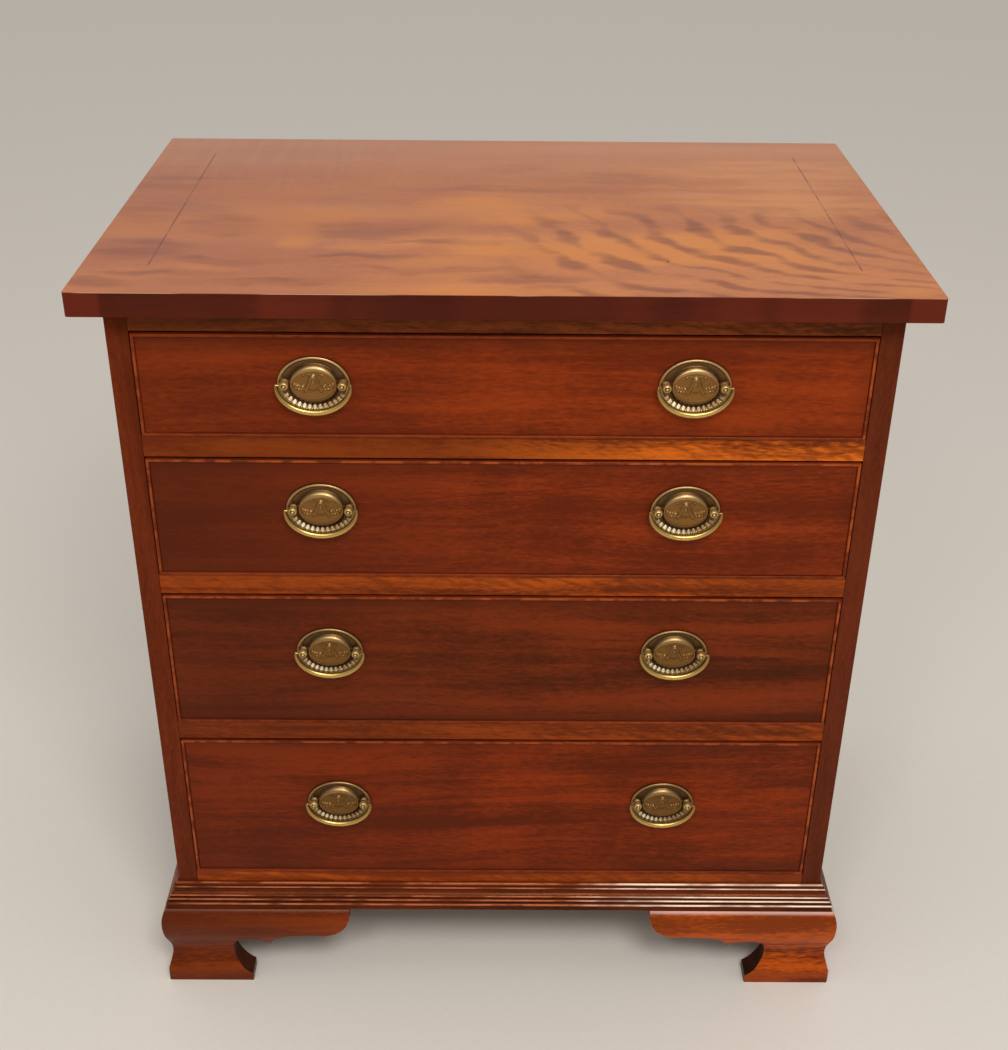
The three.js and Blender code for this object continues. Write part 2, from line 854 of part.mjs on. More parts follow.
// The origin moves to the floor under the middle of the top
chest.position.y = -(caseDepth - topOverhang) / 2;
const part = new THREE.Group();
part.add(chest);

export default part;
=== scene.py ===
import json
import math

import bmesh
import bpy
import numpy as np
from mathutils import Matrix, Vector, noise


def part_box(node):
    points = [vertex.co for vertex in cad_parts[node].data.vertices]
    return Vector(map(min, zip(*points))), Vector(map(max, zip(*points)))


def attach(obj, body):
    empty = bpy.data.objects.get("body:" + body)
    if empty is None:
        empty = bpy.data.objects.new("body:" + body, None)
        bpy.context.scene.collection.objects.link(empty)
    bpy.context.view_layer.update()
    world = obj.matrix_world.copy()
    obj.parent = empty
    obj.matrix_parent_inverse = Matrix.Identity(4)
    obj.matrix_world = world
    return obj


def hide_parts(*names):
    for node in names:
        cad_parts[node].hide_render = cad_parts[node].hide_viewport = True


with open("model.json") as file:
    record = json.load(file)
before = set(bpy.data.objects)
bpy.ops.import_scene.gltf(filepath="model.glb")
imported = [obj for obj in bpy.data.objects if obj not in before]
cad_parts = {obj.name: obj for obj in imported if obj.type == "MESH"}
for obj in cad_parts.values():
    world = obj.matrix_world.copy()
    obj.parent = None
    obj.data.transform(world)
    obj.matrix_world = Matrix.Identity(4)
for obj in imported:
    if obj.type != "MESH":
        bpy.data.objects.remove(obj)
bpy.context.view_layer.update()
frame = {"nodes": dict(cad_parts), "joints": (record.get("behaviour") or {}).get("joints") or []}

mm = 0.001

# The viewpoint: straight in front of the chest, at the eye height of someone who stands close to
# it and looks down on it. The angles were found from the chest's own straight edges.
eye_place = Vector((-7.6, -1391.9, 1247.7)) * mm
eye_turn = (60.18, -0.492, -0.119)
eye_lens, eye_film = 50.22, 36


def added(name, data):
    """A new object in the scene."""
    made = bpy.data.objects.new(name, data)
    bpy.context.scene.collection.objects.link(made)
    return made


eye = added("eye", bpy.data.cameras.new("eye"))
eye.data.lens = eye_lens
eye.data.sensor_width = eye_film
eye.location = eye_place
eye.rotation_euler = [math.radians(turn) for turn in eye_turn]
bpy.context.scene.camera = eye

# The top: one wide slab of figured mahogany with square edges, its arrises just taken off by hand.
# It is polished to a soft gloss, a darker red along its edges, and glued down on the case. Two fine
# joints run across it near the ends.
top_arris = 0.8 * mm
top_joint_from_end, top_joint_width = 58.5 * mm, 1.2 * mm
top_joint_front, top_joint_back, top_joint_fade = 70 * mm, 63 * mm, 8 * mm
tongue_pitch = 43 * mm
knot_x, knot_half_width = 143.5 * mm, 1.3 * mm
knot_y, knot_half_length = -153 * mm, 2.6 * mm
figure_warp = 50 * mm
glint_low, glint_high = 0.8 * top_arris, 0.4 * top_arris
end_grain_band = (34 * mm, 28 * mm)


def stain(red, green, blue):
    """A colour as a colour chart gives it, from 0 to 255, turned into light."""
    shares = [c / 255 for c in (red, green, blue)]
    light = [s / 12.92 if s < 0.04045 else ((s + 0.055) / 1.055) ** 2.4 for s in shares]
    return (*light, 1)


def shade(colour, share):
    """The same colour with only a share of its light."""
    return (*(c * share for c in colour[:3]), 1)


class Layers:
    """The layers that a finish or a light is mixed from."""

    def __init__(self, tree):
        self.tree = tree

    def add(self, kind, inputs=(), **settings):
        made = self.tree.nodes.new("ShaderNode" + kind)
        for key, value in settings.items():
            setattr(made, key, value)
        for key, value in dict(inputs).items():
            self.feed(made.inputs[key], value)
        return made

    def feed(self, socket, value):
        if isinstance(value, bpy.types.NodeSocket):
            self.tree.links.new(value, socket)
        else:
            socket.default_value = value

    def sum(self, way, *values):
        return self.add("Math", enumerate(values), operation=way).outputs[0]

    def product(self, first, *others):
        for other in others:
            first = self.sum("MULTIPLY", first, other)
        return first

    def largest(self, first, *others):
        for other in others:
            first = self.sum("MAXIMUM", first, other)
        return first

    def times_plus(self, value, times, plus):
        return self.sum("MULTIPLY_ADD", value, times, plus)

    def off(self, axis, spot, reach):
        """How far a place lies from a spot along one axis, in reaches and squared."""
        reaches = self.sum("ABSOLUTE", self.times_plus(axis, 1 / reach, -spot / reach))
        return self.sum("POWER", reaches, 2)

    def scaled(self, place, scale, shift=(0, 0, 0)):
        inputs = enumerate((place, scale, shift))
        return self.add("VectorMath", inputs, operation="MULTIPLY_ADD").outputs[0]

    def step(self, value, low, high, lowest=0, highest=1):
        inputs = enumerate((value, low, high, lowest, highest))
        return self.add("MapRange", inputs, interpolation_type="SMOOTHSTEP").outputs[0]

    def blend(self, share, first, second, way="MIX"):
        inputs = {0: share, 6: first, 7: second}
        return self.add("Mix", inputs, data_type="RGBA", blend_type=way).outputs[2]


class Finish(Layers):
    """One finish: a material, whose layers follow the place on the chest."""

    def __init__(self, name, roughness, specular=0.5, metallic=0.0, glow=(1, 1, 1, 1)):
        self.material = bpy.data.materials.new(name)
        self.material.use_nodes = True
        super().__init__(self.material.node_tree)
        self.coated("Roughness", roughness)
        self.coated("Specular IOR Level", specular)
        self.coated("Specular Tint", glow)
        self.coated("Metallic", metallic)
        self.roughness = roughness
        self.place = self.add("TexCoord").outputs["Object"]

    def cloud(self, scale, detail=2, output=0, place=None):
        """Noise on the piece or at another place, with so many clouds to a metre on each axis."""
        scale = scale if isinstance(scale, tuple) else (scale, scale, scale)
        place = self.scaled(place or self.place, scale)
        return self.add("TexNoise", {"Vector": place, "Scale": 1, "Detail": detail}).outputs[output]

    def coated(self, quality, value):
        self.feed(self.tree.nodes["Principled BSDF"].inputs[quality], value)

    def coats(self, piece):
        piece.data.materials.append(self.material)

    def recoats(self, piece):
        """Takes the place of the piece's finish, and leaves others of the same mesh as they are."""
        for place in piece.material_slots:
            place.link = "OBJECT"
            place.material = self.material

    def mark(self, name):
        return self.add("Attribute", attribute_name=name).outputs["Fac"]

    def axes(self):
        return self.add("SeparateXYZ", {0: self.place}).outputs

    def painted(self, colour):
        self.colour = colour
        self.coated("Base Color", colour)

    def polished(self, share, duller):
        """The gloss varies with a share, by so much each way."""
        low, high = self.roughness - duller, self.roughness + duller
        self.coated("Roughness", self.step(share, 0.3, 0.7, low, high))

    def textured(self, height, depth, strength):
        inputs = {"Strength": strength, "Distance": depth, "Height": height}
        self.coated("Normal", self.add("Bump", inputs).outputs[0])


polish_glow = (1, 0.36, 0.12, 1)
grain_sway = 45 * mm
grain_depth = 0.12 * mm


def mahogany(name, pale, deep, seed, along="x", contrast=1.0, roughness=0.36, specular=0.3, bands=19,
             glow=polish_glow):
    """Mahogany with its bands, streaks, fibres and open pores running along one axis."""
    wood = Finish(name, roughness, specular, glow=glow)
    turn = {"x": (0, 0, 0), "y": (0, 0, -90), "z": (0, 90, 0)}[along]
    board = wood.add("Mapping", {
        "Vector": wood.place,
        "Location": (seed * 0.37, seed * 0.71, seed * 0.53),
        "Rotation": [math.radians(angle) for angle in turn],
    }).outputs[0]
    drift = wood.cloud((2.5, 7, 7), 2, 1, board)
    wood.board = wood.scaled(drift, (0, grain_sway, grain_sway), board)
    broad = wood.cloud((1.8, bands, bands), 3, place=wood.board)
    streaks = wood.cloud((5, 140, 140), 3, place=wood.board)
    fibres = wood.cloud((38, 1250, 1250), 2, place=wood.board)
    curl = wood.cloud((15, 4, 4), 1, place=wood.board)
    flecks = wood.cloud((110, 420, 420), 2, place=wood.board)
    pores = wood.step(wood.cloud((120, 2300, 2300), 1, place=wood.board), 0.6, 0.7)

    mixed = wood.product(broad, 0.55)
    for layer, share in ((streaks, 0.24), (fibres, 0.15), (curl, 0.14), (flecks, 0.24)):
        mixed = wood.times_plus(layer, share, mixed)
    middle, reach = 0.66, 0.16 / contrast
    wood.tone = wood.step(mixed, middle - reach, middle + reach)
    body = wood.blend(wood.tone, deep, pale)
    wood.painted(wood.blend(wood.product(pores, 0.4), body, shade(deep, 0.45)))
    wood.polished(streaks, 0.06)
    wood.textured(wood.sum("SUBTRACT", fibres, pores), grain_depth, 0.2)
    return wood


def eased(piece, width, sharper_than=40):
    """Takes off the arrises of a piece, where its faces turn by more than an angle."""
    arris = piece.modifiers.new("arris", "BEVEL")
    arris.width = width
    arris.segments = 2
    arris.limit_method = "ANGLE"
    arris.angle_limit = math.radians(sharper_than)


def fitted(node, arris, finish):
    """A board of the solid model with its arrises taken off, in its finish."""
    board = frame["nodes"][node]
    board.modifiers.new("joined", "WELD").merge_threshold = 0.01 * mm
    eased(board, arris)
    finish.recoats(board)


top_low, top_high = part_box("top_board")
top = mahogany(
    "top_mahogany", stain(196, 118, 62), stain(168, 92, 50), 3, contrast=0.7, roughness=0.32, bands=26,
    glow=(1, 0.95, 0.9, 1)
)
x, y, z = top.axes()
towards_front = top.largest(top.product(y, -1), 0)
plum = stain(112, 50, 32)
gold, honey = stain(214, 128, 44), stain(220, 148, 86)

# Rosier and duller to the left and the back, and paler at the back: a painted sheen that stands for
# the pale wall mirrored in the polish. More golden along the front and the right. The places are in
# metres from the middle of the top, x to the right and y to the back.
at_left_or_middle = top.step(x, 0.1, -0.1, 0.35, 1)
painted_sheen = top.largest(top.step(x, 0.05, -0.36), top.product(top.step(y, 0.02, 0.22), at_left_or_middle))
colour = top.blend(top.product(painted_sheen, 0.6), top.colour, stain(166, 93, 61))
colour = top.blend(top.step(y, 0.06, 0.22, 0, 0.35), colour, stain(206, 150, 116))
glow = top.step(top.cloud((4, 9, 4), 2), 0.45, 0.66)
glowing = top.product(glow, top.step(y, 0.09, -0.06, 0.1, 0.7), top.step(x, -0.3, 0.0, 0.35, 1))
colour = top.blend(glowing, colour, gold)

# Tongues of darker wood, which fall steeply from the middle and bend over to the right in front
wander = top.cloud(15, 2)
narrowing = top.times_plus(top.sum("POWER", towards_front, 3), -45, 1)
swept = top.times_plus(towards_front, -0.4, top.product(x, narrowing))
swept = top.times_plus(swept, 2 * math.pi / tongue_pitch, top.product(wander, 9))
broken = top.cloud((17, 28, 5), 3)
tongues = top.step(top.times_plus(broken, 5.5, top.sum("SINE", swept)), 2.5, 4.3)
tongue_reach = top.product(
    top.step(x, -0.03, 0.07), top.step(x, 0.4, 0.3, 0.35, 1), top.step(y, 0.03, -0.05)
)
colour = top.blend(top.product(tongues, tongue_reach, 0.62), colour, plum)

# Single smudges and glowing patches, warped and torn into wisps. The numbers are where each one
# lies in millimetres, half its length and its width, and how strong it is.
figure_spots = [
    (plum, [
        (-335, -126, 44, 26, 0.5), (-268, -58, 34, 24, 0.42), (-245, -158, 52, 9, 0.6),
        (-130, -73, 62, 20, 0.4), (-127, -147, 48, 7, 0.5), (-35, -106, 60, 6, 0.5),
        (-350, -215, 40, 10, 0.5), (-290, -192, 50, 7, 0.5), (-205, -212, 70, 9, 0.5),
        (-60, -178, 60, 8, 0.4), (-20, 56, 90, 9, 0.3), (-310, 89, 56, 7, 0.3),
        (180, 92, 120, 18, 0.28), (10, 131, 30, 12, 0.25), (330, 4, 14, 8, 0.4),
        (20, -205, 50, 9, 0.4), (-330, -20, 60, 24, 0.3), (-345, 60, 50, 20, 0.25),
    ]),
    (gold, [
        (-187, -91, 20, 30, 0.5), (-120, -121, 34, 10, 0.7), (-20, -115, 34, 26, 0.55),
        (-25, 4, 44, 28, 0.55), (-290, -180, 50, 10, 0.4), (250, 30, 60, 26, 0.35),
        (250, 140, 110, 50, 0.35),
    ]),
    (honey, [(275, 30, 120, 50, 0.42), (285, 120, 100, 50, 0.35)]),
]
warped = top.scaled(top.cloud(16, 3, 1), (figure_warp, figure_warp, 0), top.place)
warped_x, warped_y, _ = top.add("SeparateXYZ", {0: warped}).outputs
wisps = top.step(top.cloud((12, 60, 4), 3), 0.36, 0.6, 0.35, 1)
for tone, spots in figure_spots:
    for *lengths, strength in spots:
        spot_x, spot_y, half_length, half_width = (length * mm for length in lengths)
        far_x = top.off(warped_x, spot_x + figure_warp / 2, half_length)
        far_y = top.off(warped_y, spot_y + figure_warp / 2, half_width)
        share = top.product(top.step(top.sum("ADD", far_x, far_y), 2.2, 0, 0, strength), wisps)
        colour = top.blend(share, colour, tone)

# A fine ripple across the grain, at the left and towards the back
ripple_place = top.scaled(top.cloud(9, 2, 1), (0, 0.06, 0), top.place)
ripple = top.step(top.cloud((190, 12, 4), 1, place=ripple_place), 0.35, 0.65)
rippled = top.product(ripple, top.step(x, -0.05, -0.2, 0.02, 0.1), top.step(y, 0.0, 0.1, 0.2, 1))
colour = top.blend(rippled, colour, stain(120, 66, 40))

# The two fine joints near the ends, gone purple, and one dark pin knot in front
from_middle = top_high.x - top_joint_from_end
beside = top.sum("ABSOLUTE", top.sum("SUBTRACT", top.sum("ABSOLUTE", x), from_middle))
joint_start, joint_end = top_low.y + top_joint_front, top_high.y - top_joint_back
joint = top.product(
    top.step(beside, top_joint_width, 0),
    top.step(y, joint_start - top_joint_fade, joint_start),
    top.step(y, joint_end + top_joint_fade, joint_end),
    top.step(top.cloud(40), 0.35, 0.6, 0.4, 0.9),
)
colour = top.blend(joint, colour, stain(88, 36, 44))
from_knot = top.sum("ADD", top.off(x, knot_x, knot_half_width), top.off(y, knot_y, knot_half_length))
colour = top.blend(top.step(from_knot, 1.4, 0.5, 0, 0.8), colour, stain(50, 22, 14))

# The edges: short blocks of a dark red across the grain, with a pale painted highlight in places
# along the arris
from_centre = top.sum("ABSOLUTE", x)
blocks = top.step(top.cloud((13, 13, 0.5), 1), 0.45, 0.55)
ends = top.step(from_centre, *(top_high.x - band for band in end_grain_band), 0, 0.7)
streaked = top.times_plus(top.tone, 0.4, top.product(blocks, 0.35))
edge_share = top.product(top.largest(streaked, ends), top.step(from_centre, 0.02, 0.2, 0.45, 1))
edge_tone = top.blend(edge_share, stain(60, 20, 11), stain(101, 36, 18))
on_top = top.step(z, top_high.z - 0.3 * top_arris, top_high.z)
colour = top.blend(on_top, edge_tone, colour)
top.coated("Specular IOR Level", top.times_plus(on_top, 0.42, 0.08))
# A painted highlight: a thin pale glint along the arris, broken into places
highlight_and_wear = top.product(
    top.step(z, top_high.z - glint_low, top_high.z - glint_high),
    top.step(z, top_high.z, top_high.z - glint_high),
    top.step(top.cloud(9, 2), 0.54, 0.62, 0.03, 0.65),
)
top.painted(top.blend(highlight_and_wear, colour, stain(240, 200, 154)))
fitted("top_board", top_arris, top)

# The sides of the case: a solid mahogany board each, its grain running up. Their front edges show
# as the stiles beside the drawers, and they are housed on the inside for the rails.
side_arris = 0.7 * mm
side_woods = {
    "left": (stain(112, 44, 20), stain(82, 30, 13), 5),
    "right": (stain(100, 41, 21), stain(72, 28, 15), 8),
}
for hand, (pale, deep, seed) in side_woods.items():
    side = mahogany(f"side_mahogany_{hand}", pale, deep, seed, "z", specular=0.14)
    fitted(f"side_{hand}", side_arris, side)

# The rails: one under the top, one between each two drawers, and one above the base moulding. They
# are of a lighter, golden mahogany, darker at the ends, the left end with painted shade, and near
# black where they face the drawers, a painted shade that darkens the gaps round the drawers.
rail_arris = 0.5 * mm
rail_gap_shade = stain(48, 20, 11)
gap_shade_from, gap_shade_to = 0.6 * mm, 3 * mm
# Each rail's pale and dark tone, how dark its left end is painted in shade, as the light falls from
# the right, and by where, and how dark its right
rail_tones = {
    "top_rail": (stain(146, 68, 30), stain(60, 25, 16), 0.5, -0.33, 0.0),
    "divider_1": (stain(222, 107, 26), stain(90, 31, 11), 0.87, -0.1, 0.0),
    "divider_2": (stain(174, 76, 19), stain(88, 30, 10), 0.45, -0.33, 0.5),
    "divider_3": (stain(152, 63, 15), stain(80, 27, 9), 0.5, -0.25, 0.0),
    "bottom_rail": (stain(168, 73, 15), stain(108, 39, 10), 0.0, -0.33, 0.5),
}
for seed, node in enumerate(rail_tones, 11):
    pale, deep, left_shade_share, left_end, right_share = rail_tones[node]
    rail = mahogany(f"{node}_mahogany", pale, deep, seed, contrast=1.2, bands=60)
    low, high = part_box(node)
    x, y, z = rail.axes()
    leaning = rail.add("CombineXYZ", {0: x, 1: y, 2: rail.times_plus(x, 0.35, z)}).outputs[0]
    figure = rail.step(rail.cloud((34, 20, 150), 3, place=leaning), 0.4, 0.66, 0, 0.6)
    # Painted shade towards the left end, as the light falls from the right
    left_painted_shade = rail.step(x, 0.3, left_end, 0, left_shade_share)
    right_dark = rail.step(x, 0.1, 0.33, 0, right_share)
    dark = rail.largest(rail.sum("ADD", left_painted_shade, right_dark), figure)
    # Painted shade, near black, on the faces turned to the drawers, so that the gaps look dark
    inside = rail.step(y, low.y + gap_shade_from, low.y + gap_shade_to)
    rail.painted(rail.blend(inside, rail.blend(dark, rail.colour, deep), rail_gap_shade))
    fitted(node, rail_arris, rail)

# The dust boards and the bottom: bare boards of pine behind the rails, which carry the drawers.
# They have only gone brown with age, and no polish was ever put on them.
pine_arris = 0.4 * mm


def pine(name, seed, along):
    wood = mahogany(name, stain(176, 138, 92), stain(138, 98, 60), seed, along, 0.8, 0.75, 0.2)
    knots = wood.step(wood.cloud((9, 26, 26), 1, place=wood.board), 0.66, 0.76)
    wood.painted(wood.blend(wood.product(knots, 0.5), wood.colour, stain(92, 56, 30)))
    return wood


pine_along_x = pine("carcase_pine", 21, "x")
for node in ("dust_board_1", "dust_board_2", "dust_board_3", "bottom_board"):
    fitted(node, pine_arris, pine_along_x)

# The back: upright pine boards in the rebates of the sides, butted edge to edge and nailed to the
# sides and the dust boards with small cut nails.
back_board_count = 5
back_board_joint = 0.5 * mm
back_board_arris = 0.8 * mm
nail_radius = 1.7 * mm
nail_rise = 0.15 * mm
nail_from_edge = 6 * mm
nail_sides = 8
nail_places = (0.18, 0.82)
back_low, back_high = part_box("back_panel")


def around(count):
    """Points spaced evenly round a circle of radius 1."""
    turns = [2 * math.pi * k / count for k in range(count)]
    return [(math.cos(turn), math.sin(turn)) for turn in turns]


def shown(name, points, faces, sharp=35):
    """A new piece from its points and faces, smooth but for edges sharper than an angle."""
    mesh = bpy.data.meshes.new(name)
    mesh.from_pydata(points, [], faces)
    smoothed(mesh, sharp)
    return added(name, mesh)


def smoothed(mesh, sharp):
    work = bmesh.new()
    work.from_mesh(mesh)
    bmesh.ops.recalc_face_normals(work, faces=work.faces)
    work.to_mesh(mesh)
    work.free()
    mesh.shade_smooth()
    mesh.set_sharp_from_angle(angle=math.radians(sharp))


def lofted(name, rows, ring=False, sharp=35):
    """A piece through rows of points, closed into a ring or capped at its two ends."""
    count = len(rows[0])
    faces = []
    for r in range(len(rows) if ring else len(rows) - 1):
        here, there = r * count, (r + 1) % len(rows) * count
        for i in range(count):
            j = (i + 1) % count
            faces.append((here + i, here + j, there + j, there + i))
    if not ring:
        faces.append(tuple(reversed(range(count))))
        faces.append(tuple(range((len(rows) - 1) * count, len(rows) * count)))
    return shown(name, [point for row in rows for point in row], faces, sharp)


def planed(name, low, high, arris):
    """An upright board with its arrises taken off, as rows along its height."""
    corners = []
    turns = ((low.x, low.y, 180), (high.x, low.y, 270), (high.x, high.y, 0), (low.x, high.y, 90))
    for x, y, turn in turns:
        inward = Vector((arris if x == low.x else -arris, arris if y == low.y else -arris))
        for step in range(4):
            angle = math.radians(turn + 30 * step)
            corners.append(Vector((x, y)) + inward + Vector((math.cos(angle), math.sin(angle))) * arris)
    rows = []
    for z, inset in ((low.z, arris), (low.z + arris, 0), (high.z - arris, 0), (high.z, arris)):
        middle = Vector(((low.x + high.x) / 2, (low.y + high.y) / 2))
        size = Vector((high.x - low.x, high.y - low.y))
        shrink = [(s - 2 * inset) / s for s in size]
        rows.append([
            (middle.x + (c.x - middle.x) * shrink[0], middle.y + (c.y - middle.y) * shrink[1], z)
            for c in corners
        ])
    return lofted(name, rows)


board_width = (back_high.x - back_low.x) / back_board_count
for number in range(back_board_count):
    left = back_low.x + board_width * number
    board = planed(
        f"back_board_{number + 1}",
        Vector((left + back_board_joint / 2, back_low.y, back_low.z)),
        Vector((left + board_width - back_board_joint / 2, back_high.y - nail_rise, back_high.z)),
        back_board_arris,
    )
    pine(f"back_pine_{number + 1}", 30 + number, "z").coats(board)
    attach(board, "case")
    if number == 0:
        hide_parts("back_panel")

iron = Finish("nail_iron", 0.7, 0.4, 0.6)
iron.painted(iron.blend(iron.cloud(900), stain(40, 34, 30), stain(86, 62, 46)))
nail_heights = [back_low.z + nail_from_edge, back_high.z - nail_from_edge * 2]
nail_heights += [sum(c.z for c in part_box(f"dust_board_{n}")) / 2 for n in (1, 2, 3)]
for number in range(back_board_count):
    points, faces = [], []
    for height in nail_heights:
        for share in nail_places:
            centre = Vector((back_low.x + board_width * (number + share), back_high.y, height))
            first = len(points)
            points.append(centre)
            for radius, depth in ((nail_radius * 0.7, nail_rise * 0.5), (nail_radius, nail_rise * 1.5)):
                for x, z in around(nail_sides):
                    points.append(centre + Vector((x * radius, -depth, z * radius)))
            for k in range(nail_sides):
                a, b = first + 1 + k, first + 1 + (k + 1) % nail_sides
                faces += [(first, a, b), (a, a + nail_sides, b + nail_sides, b)]
            faces.append(tuple(first + 1 + nail_sides + k for k in range(nail_sides)))
    nails = shown(f"back_nails_{number + 1}", points, faces)
    iron.coats(nails)
    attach(nails, "case")

# The base moulding: mahogany strips mitred at the front corners and glued round the foot of the
# case. Two reeds stand above a hollow and three below it. Their crests are lighter, partly from wear
# and partly as a painted highlight that turns pale towards the right, and the quirks between them
# are near black with painted shade. All of it wanders a little, as hand work does.
reed_wear = 0.13 * mm
reed_wear_waves = ((55, 1), (170, 0.5))
moulding_station = 9 * mm
reed_steps, hollow_steps, hollow_crest = 8, 6, 0.05
# Reeds, hollow and fillet in millimetres: out from the case and up, from start to end
reeds_above = [((0, 28), (3.7, 25.0)), ((3.8, 24.3), (5.3, 21.6))]
hollow = ((5.2, 20.9), (7.1, 16.5))
reeds_below = [((7.5, 16.0), (8.9, 12.9)), ((9.2, 12.1), (11.0, 8.9)), ((11.3, 8.0), (13.2, 4.4))]
fillet = ((12.5, 3.9), (13.4, 0.0))
reed_bulge_share = 0.3
hollow_bulge_share = -0.18
quirk_depth = 0.9


def bowed(start, end, bulge, steps):
    """Points along an arc from start to end that bulges outwards by a share of its length."""
    start, end = Vector(start), Vector(end)
    chord = end - start
    out = Vector((-chord.y, chord.x))
    points = []
    for step in range(steps + 1):
        share = step / steps
        points.append(start + chord * share + out * bulge * math.sin(math.pi * share))
    return points


def moulding_section():
    """The moulding's outline, out from the case and up from its lower edge, with how far each point
    is a crest (1), a flank (0) or the bottom of a quirk (-1)."""
    points = []

    def reed(start, end):
        for number, spot in enumerate(bowed(start, end, reed_bulge_share, reed_steps)):
            points.append((spot, math.sin(math.pi * number / reed_steps)))
        points.append((Vector(end) + Vector((-quirk_depth, -quirk_depth / 3)), -1))

    for start, end in reeds_above:
        reed(start, end)
    for spot in bowed(*hollow, hollow_bulge_share, hollow_steps):
        points.append((spot, hollow_crest))
    for start, end in reeds_below:
        reed(start, end)
    points += [(Vector(spot), 0) for spot in fillet]
    return [(spot.x * mm, spot.y * mm, crest) for spot, crest in points] + [(0, 0, 0)]


def worn(point, outward):
    """A point of a worn surface: it wanders along its length by hardly a hair."""
    drift = sum(noise.noise(Vector(point) * wave) * share for wave, share in reed_wear_waves)
    return Vector(point) + Vector(outward) * drift * reed_wear


case_low, case_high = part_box("side_left")
half_case = -case_low.x
case_front, case_back = case_low.y, case_high.y
moulding_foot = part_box("base_moulding_front")[0].z
section = moulding_section()
glue = 0.2 * mm


def marked(piece, name, values):
    """A number for each point of a piece, which its finish reads."""
    mark = piece.data.attributes.new(name, "FLOAT", "POINT")
    mark.data.foreach_set("value", values)


def moulding(name, at, length, wood):
    """One strip: at() gives a point from its share of the length, its projection and its height."""
    stations = round(length / moulding_station)
    rows = []
    for station in range(stations + 1):
        rows.append([at(station / stations, p, z) for p, z, crest in section])
    piece = lofted(name, rows, sharp=60)
    marked(piece, "crest", [crest for p, z, crest in section] * (stations + 1))
    wood.coats(piece)
    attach(piece, "case")
    return piece


def across_front(share, p, z):
    reach = half_case + p
    point = (reach * (2 * share - 1), case_front - p - glue, moulding_foot + z)
    return worn(point, (0, -1 if p > mm else 0, 0))


def down_side(hand):
    def at(share, p, z):
        start = case_front - p + glue
        point = (hand * (half_case + p + glue), start + (case_back - start) * share, moulding_foot + z)
        return worn(point, (hand if p > mm else 0, 0, 0))
    return at


def moulding_wood(name, seed, along, crest_highlight_share):
    """Near black in the quirks with painted shade, and lighter on the crests, partly from wear and
    partly as a painted highlight that turns pale towards the right.
    """
    wood = mahogany(
        name, stain(102, 36, 14), stain(46, 15, 7), seed, along, 1.3, 0.26, 0.3, glow=(1, 0.42, 0.16, 1)
    )
    crest = wood.mark("crest")
    patches = wood.cloud((24, 24, 75), 4)
    highlit_to_right = wood.step(wood.axes()[0], 0.06, 0.17, 0.04, crest_highlight_share)
    least = wood.times_plus(highlit_to_right, 0.35, 0.05)
    highlight_and_wear = wood.product(wood.step(crest, 0.58, 1), wood.step(patches, 0.4, 0.6, least, 1))
    # Painted shade: near black in the quirks, and darker in the hollow
    colour = wood.blend(wood.step(crest, 0.3, -0.5), wood.colour, stain(17, 7, 5))
    # The crests' painted highlight, orange red at the left and pale to the right, where the light falls
    crest_highlight_tone = wood.blend(highlit_to_right, stain(168, 86, 42), stain(255, 232, 204))
    wood.painted(wood.blend(highlight_and_wear, colour, crest_highlight_tone))
    gloss = wood.step(patches, 0.35, 0.6, 0.3, 0.14)
    gloss = wood.times_plus(wood.step(crest, 0.5, -0.5), 0.2, gloss)
    wood.coated("Roughness", gloss)
    return wood


strips = {
    "front": (across_front, 2 * half_case, 41, "x", 1),
    "left": (down_side(-1), case_back - case_front, 42, "y", 0),
    "right": (down_side(1), case_back - case_front, 43, "y", 0.2),
}
for place, (at, length, seed, along, crest_highlight_share) in strips.items():
    wood = moulding_wood(f"moulding_mahogany_{place}", seed, along, crest_highlight_share)
    strip = moulding(f"reeded_moulding_{place}", at, length, wood)
    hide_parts(f"base_moulding_{place}")

# The feet: ogee brackets of thick mahogany, mitred at the corner and sawn to a scrolled outline,
# with a pine block glued in the corner behind. At the back a plain shaped board takes the place
# of the second bracket.
foot_height = 101.8
foot_projection = 20
foot_span = 183
bracket_backing = 5
rear_board_span, rear_board_thickness = 150, 16
glue_block = 34
foot_glue = 0.1
foot_arris = 0.8 * mm
foot_swell = (45 * mm, 72 * mm)
toe_shade = (18 * mm, 13 * mm)
foot_ledge = ((foot_height - 4) * mm, (foot_height - 0.6) * mm)
saw_clear = 1
sawn_slope = 0.2
ogee_steps, scroll_steps, rear_board_steps = 4, 8, 6
# The ogee's projection and height, then the sawn curves' handles and ends, as shares of the foot
ogee_shares = [
    (0.71, 1), (0.83, 0.975), (0.925, 0.92), (0.985, 0.86), (1, 0.79), (0.98, 0.71), (0.92, 0.635),
    (0.8, 0.56), (0.7, 0.5), (0.65, 0.44), (0.66, 0.375), (0.74, 0.3), (0.86, 0.22), (0.94, 0.165),
    (0.945, 0),
]
toe_share = 0.4
scroll_shares = [
    (0.4, 0.05, 0.4, 0.1), (0.335, 0.17, 0.3, 0.34), (0.275, 0.54, 0.35, 0.575),
    (0.43, 0.61, 0.52, 0.5), (0.545, 0.62, 0.62, 0.645), (0.76, 0.67, 0.86, 0.66),
    (0.98, 0.71, 1, 0.93),
]
rear_board_shares = [(0.36, 0.3, 0.5, 0.62), (0.6, 0.7, 1, 0.7)]


def flowing(knots, steps):
    """A smooth curve through all its knots, with so many steps between each two."""
    knots = [np.array(knot, float) for knot in knots]
    ends = [2 * knots[0] - knots[1], *knots, 2 * knots[-1] - knots[-2]]
    curve = []
    for a, b, c, d in zip(ends, ends[1:], ends[2:], ends[3:]):
        for step in range(steps):
            t = step / steps
            curve.append(
                b + (c - a) * t / 2 + (2 * a - 5 * b + 4 * c - d) * t**2 / 2
                + (3 * b - a - 3 * c + d) * t**3 / 2
            )
    return [*curve, knots[-1]]


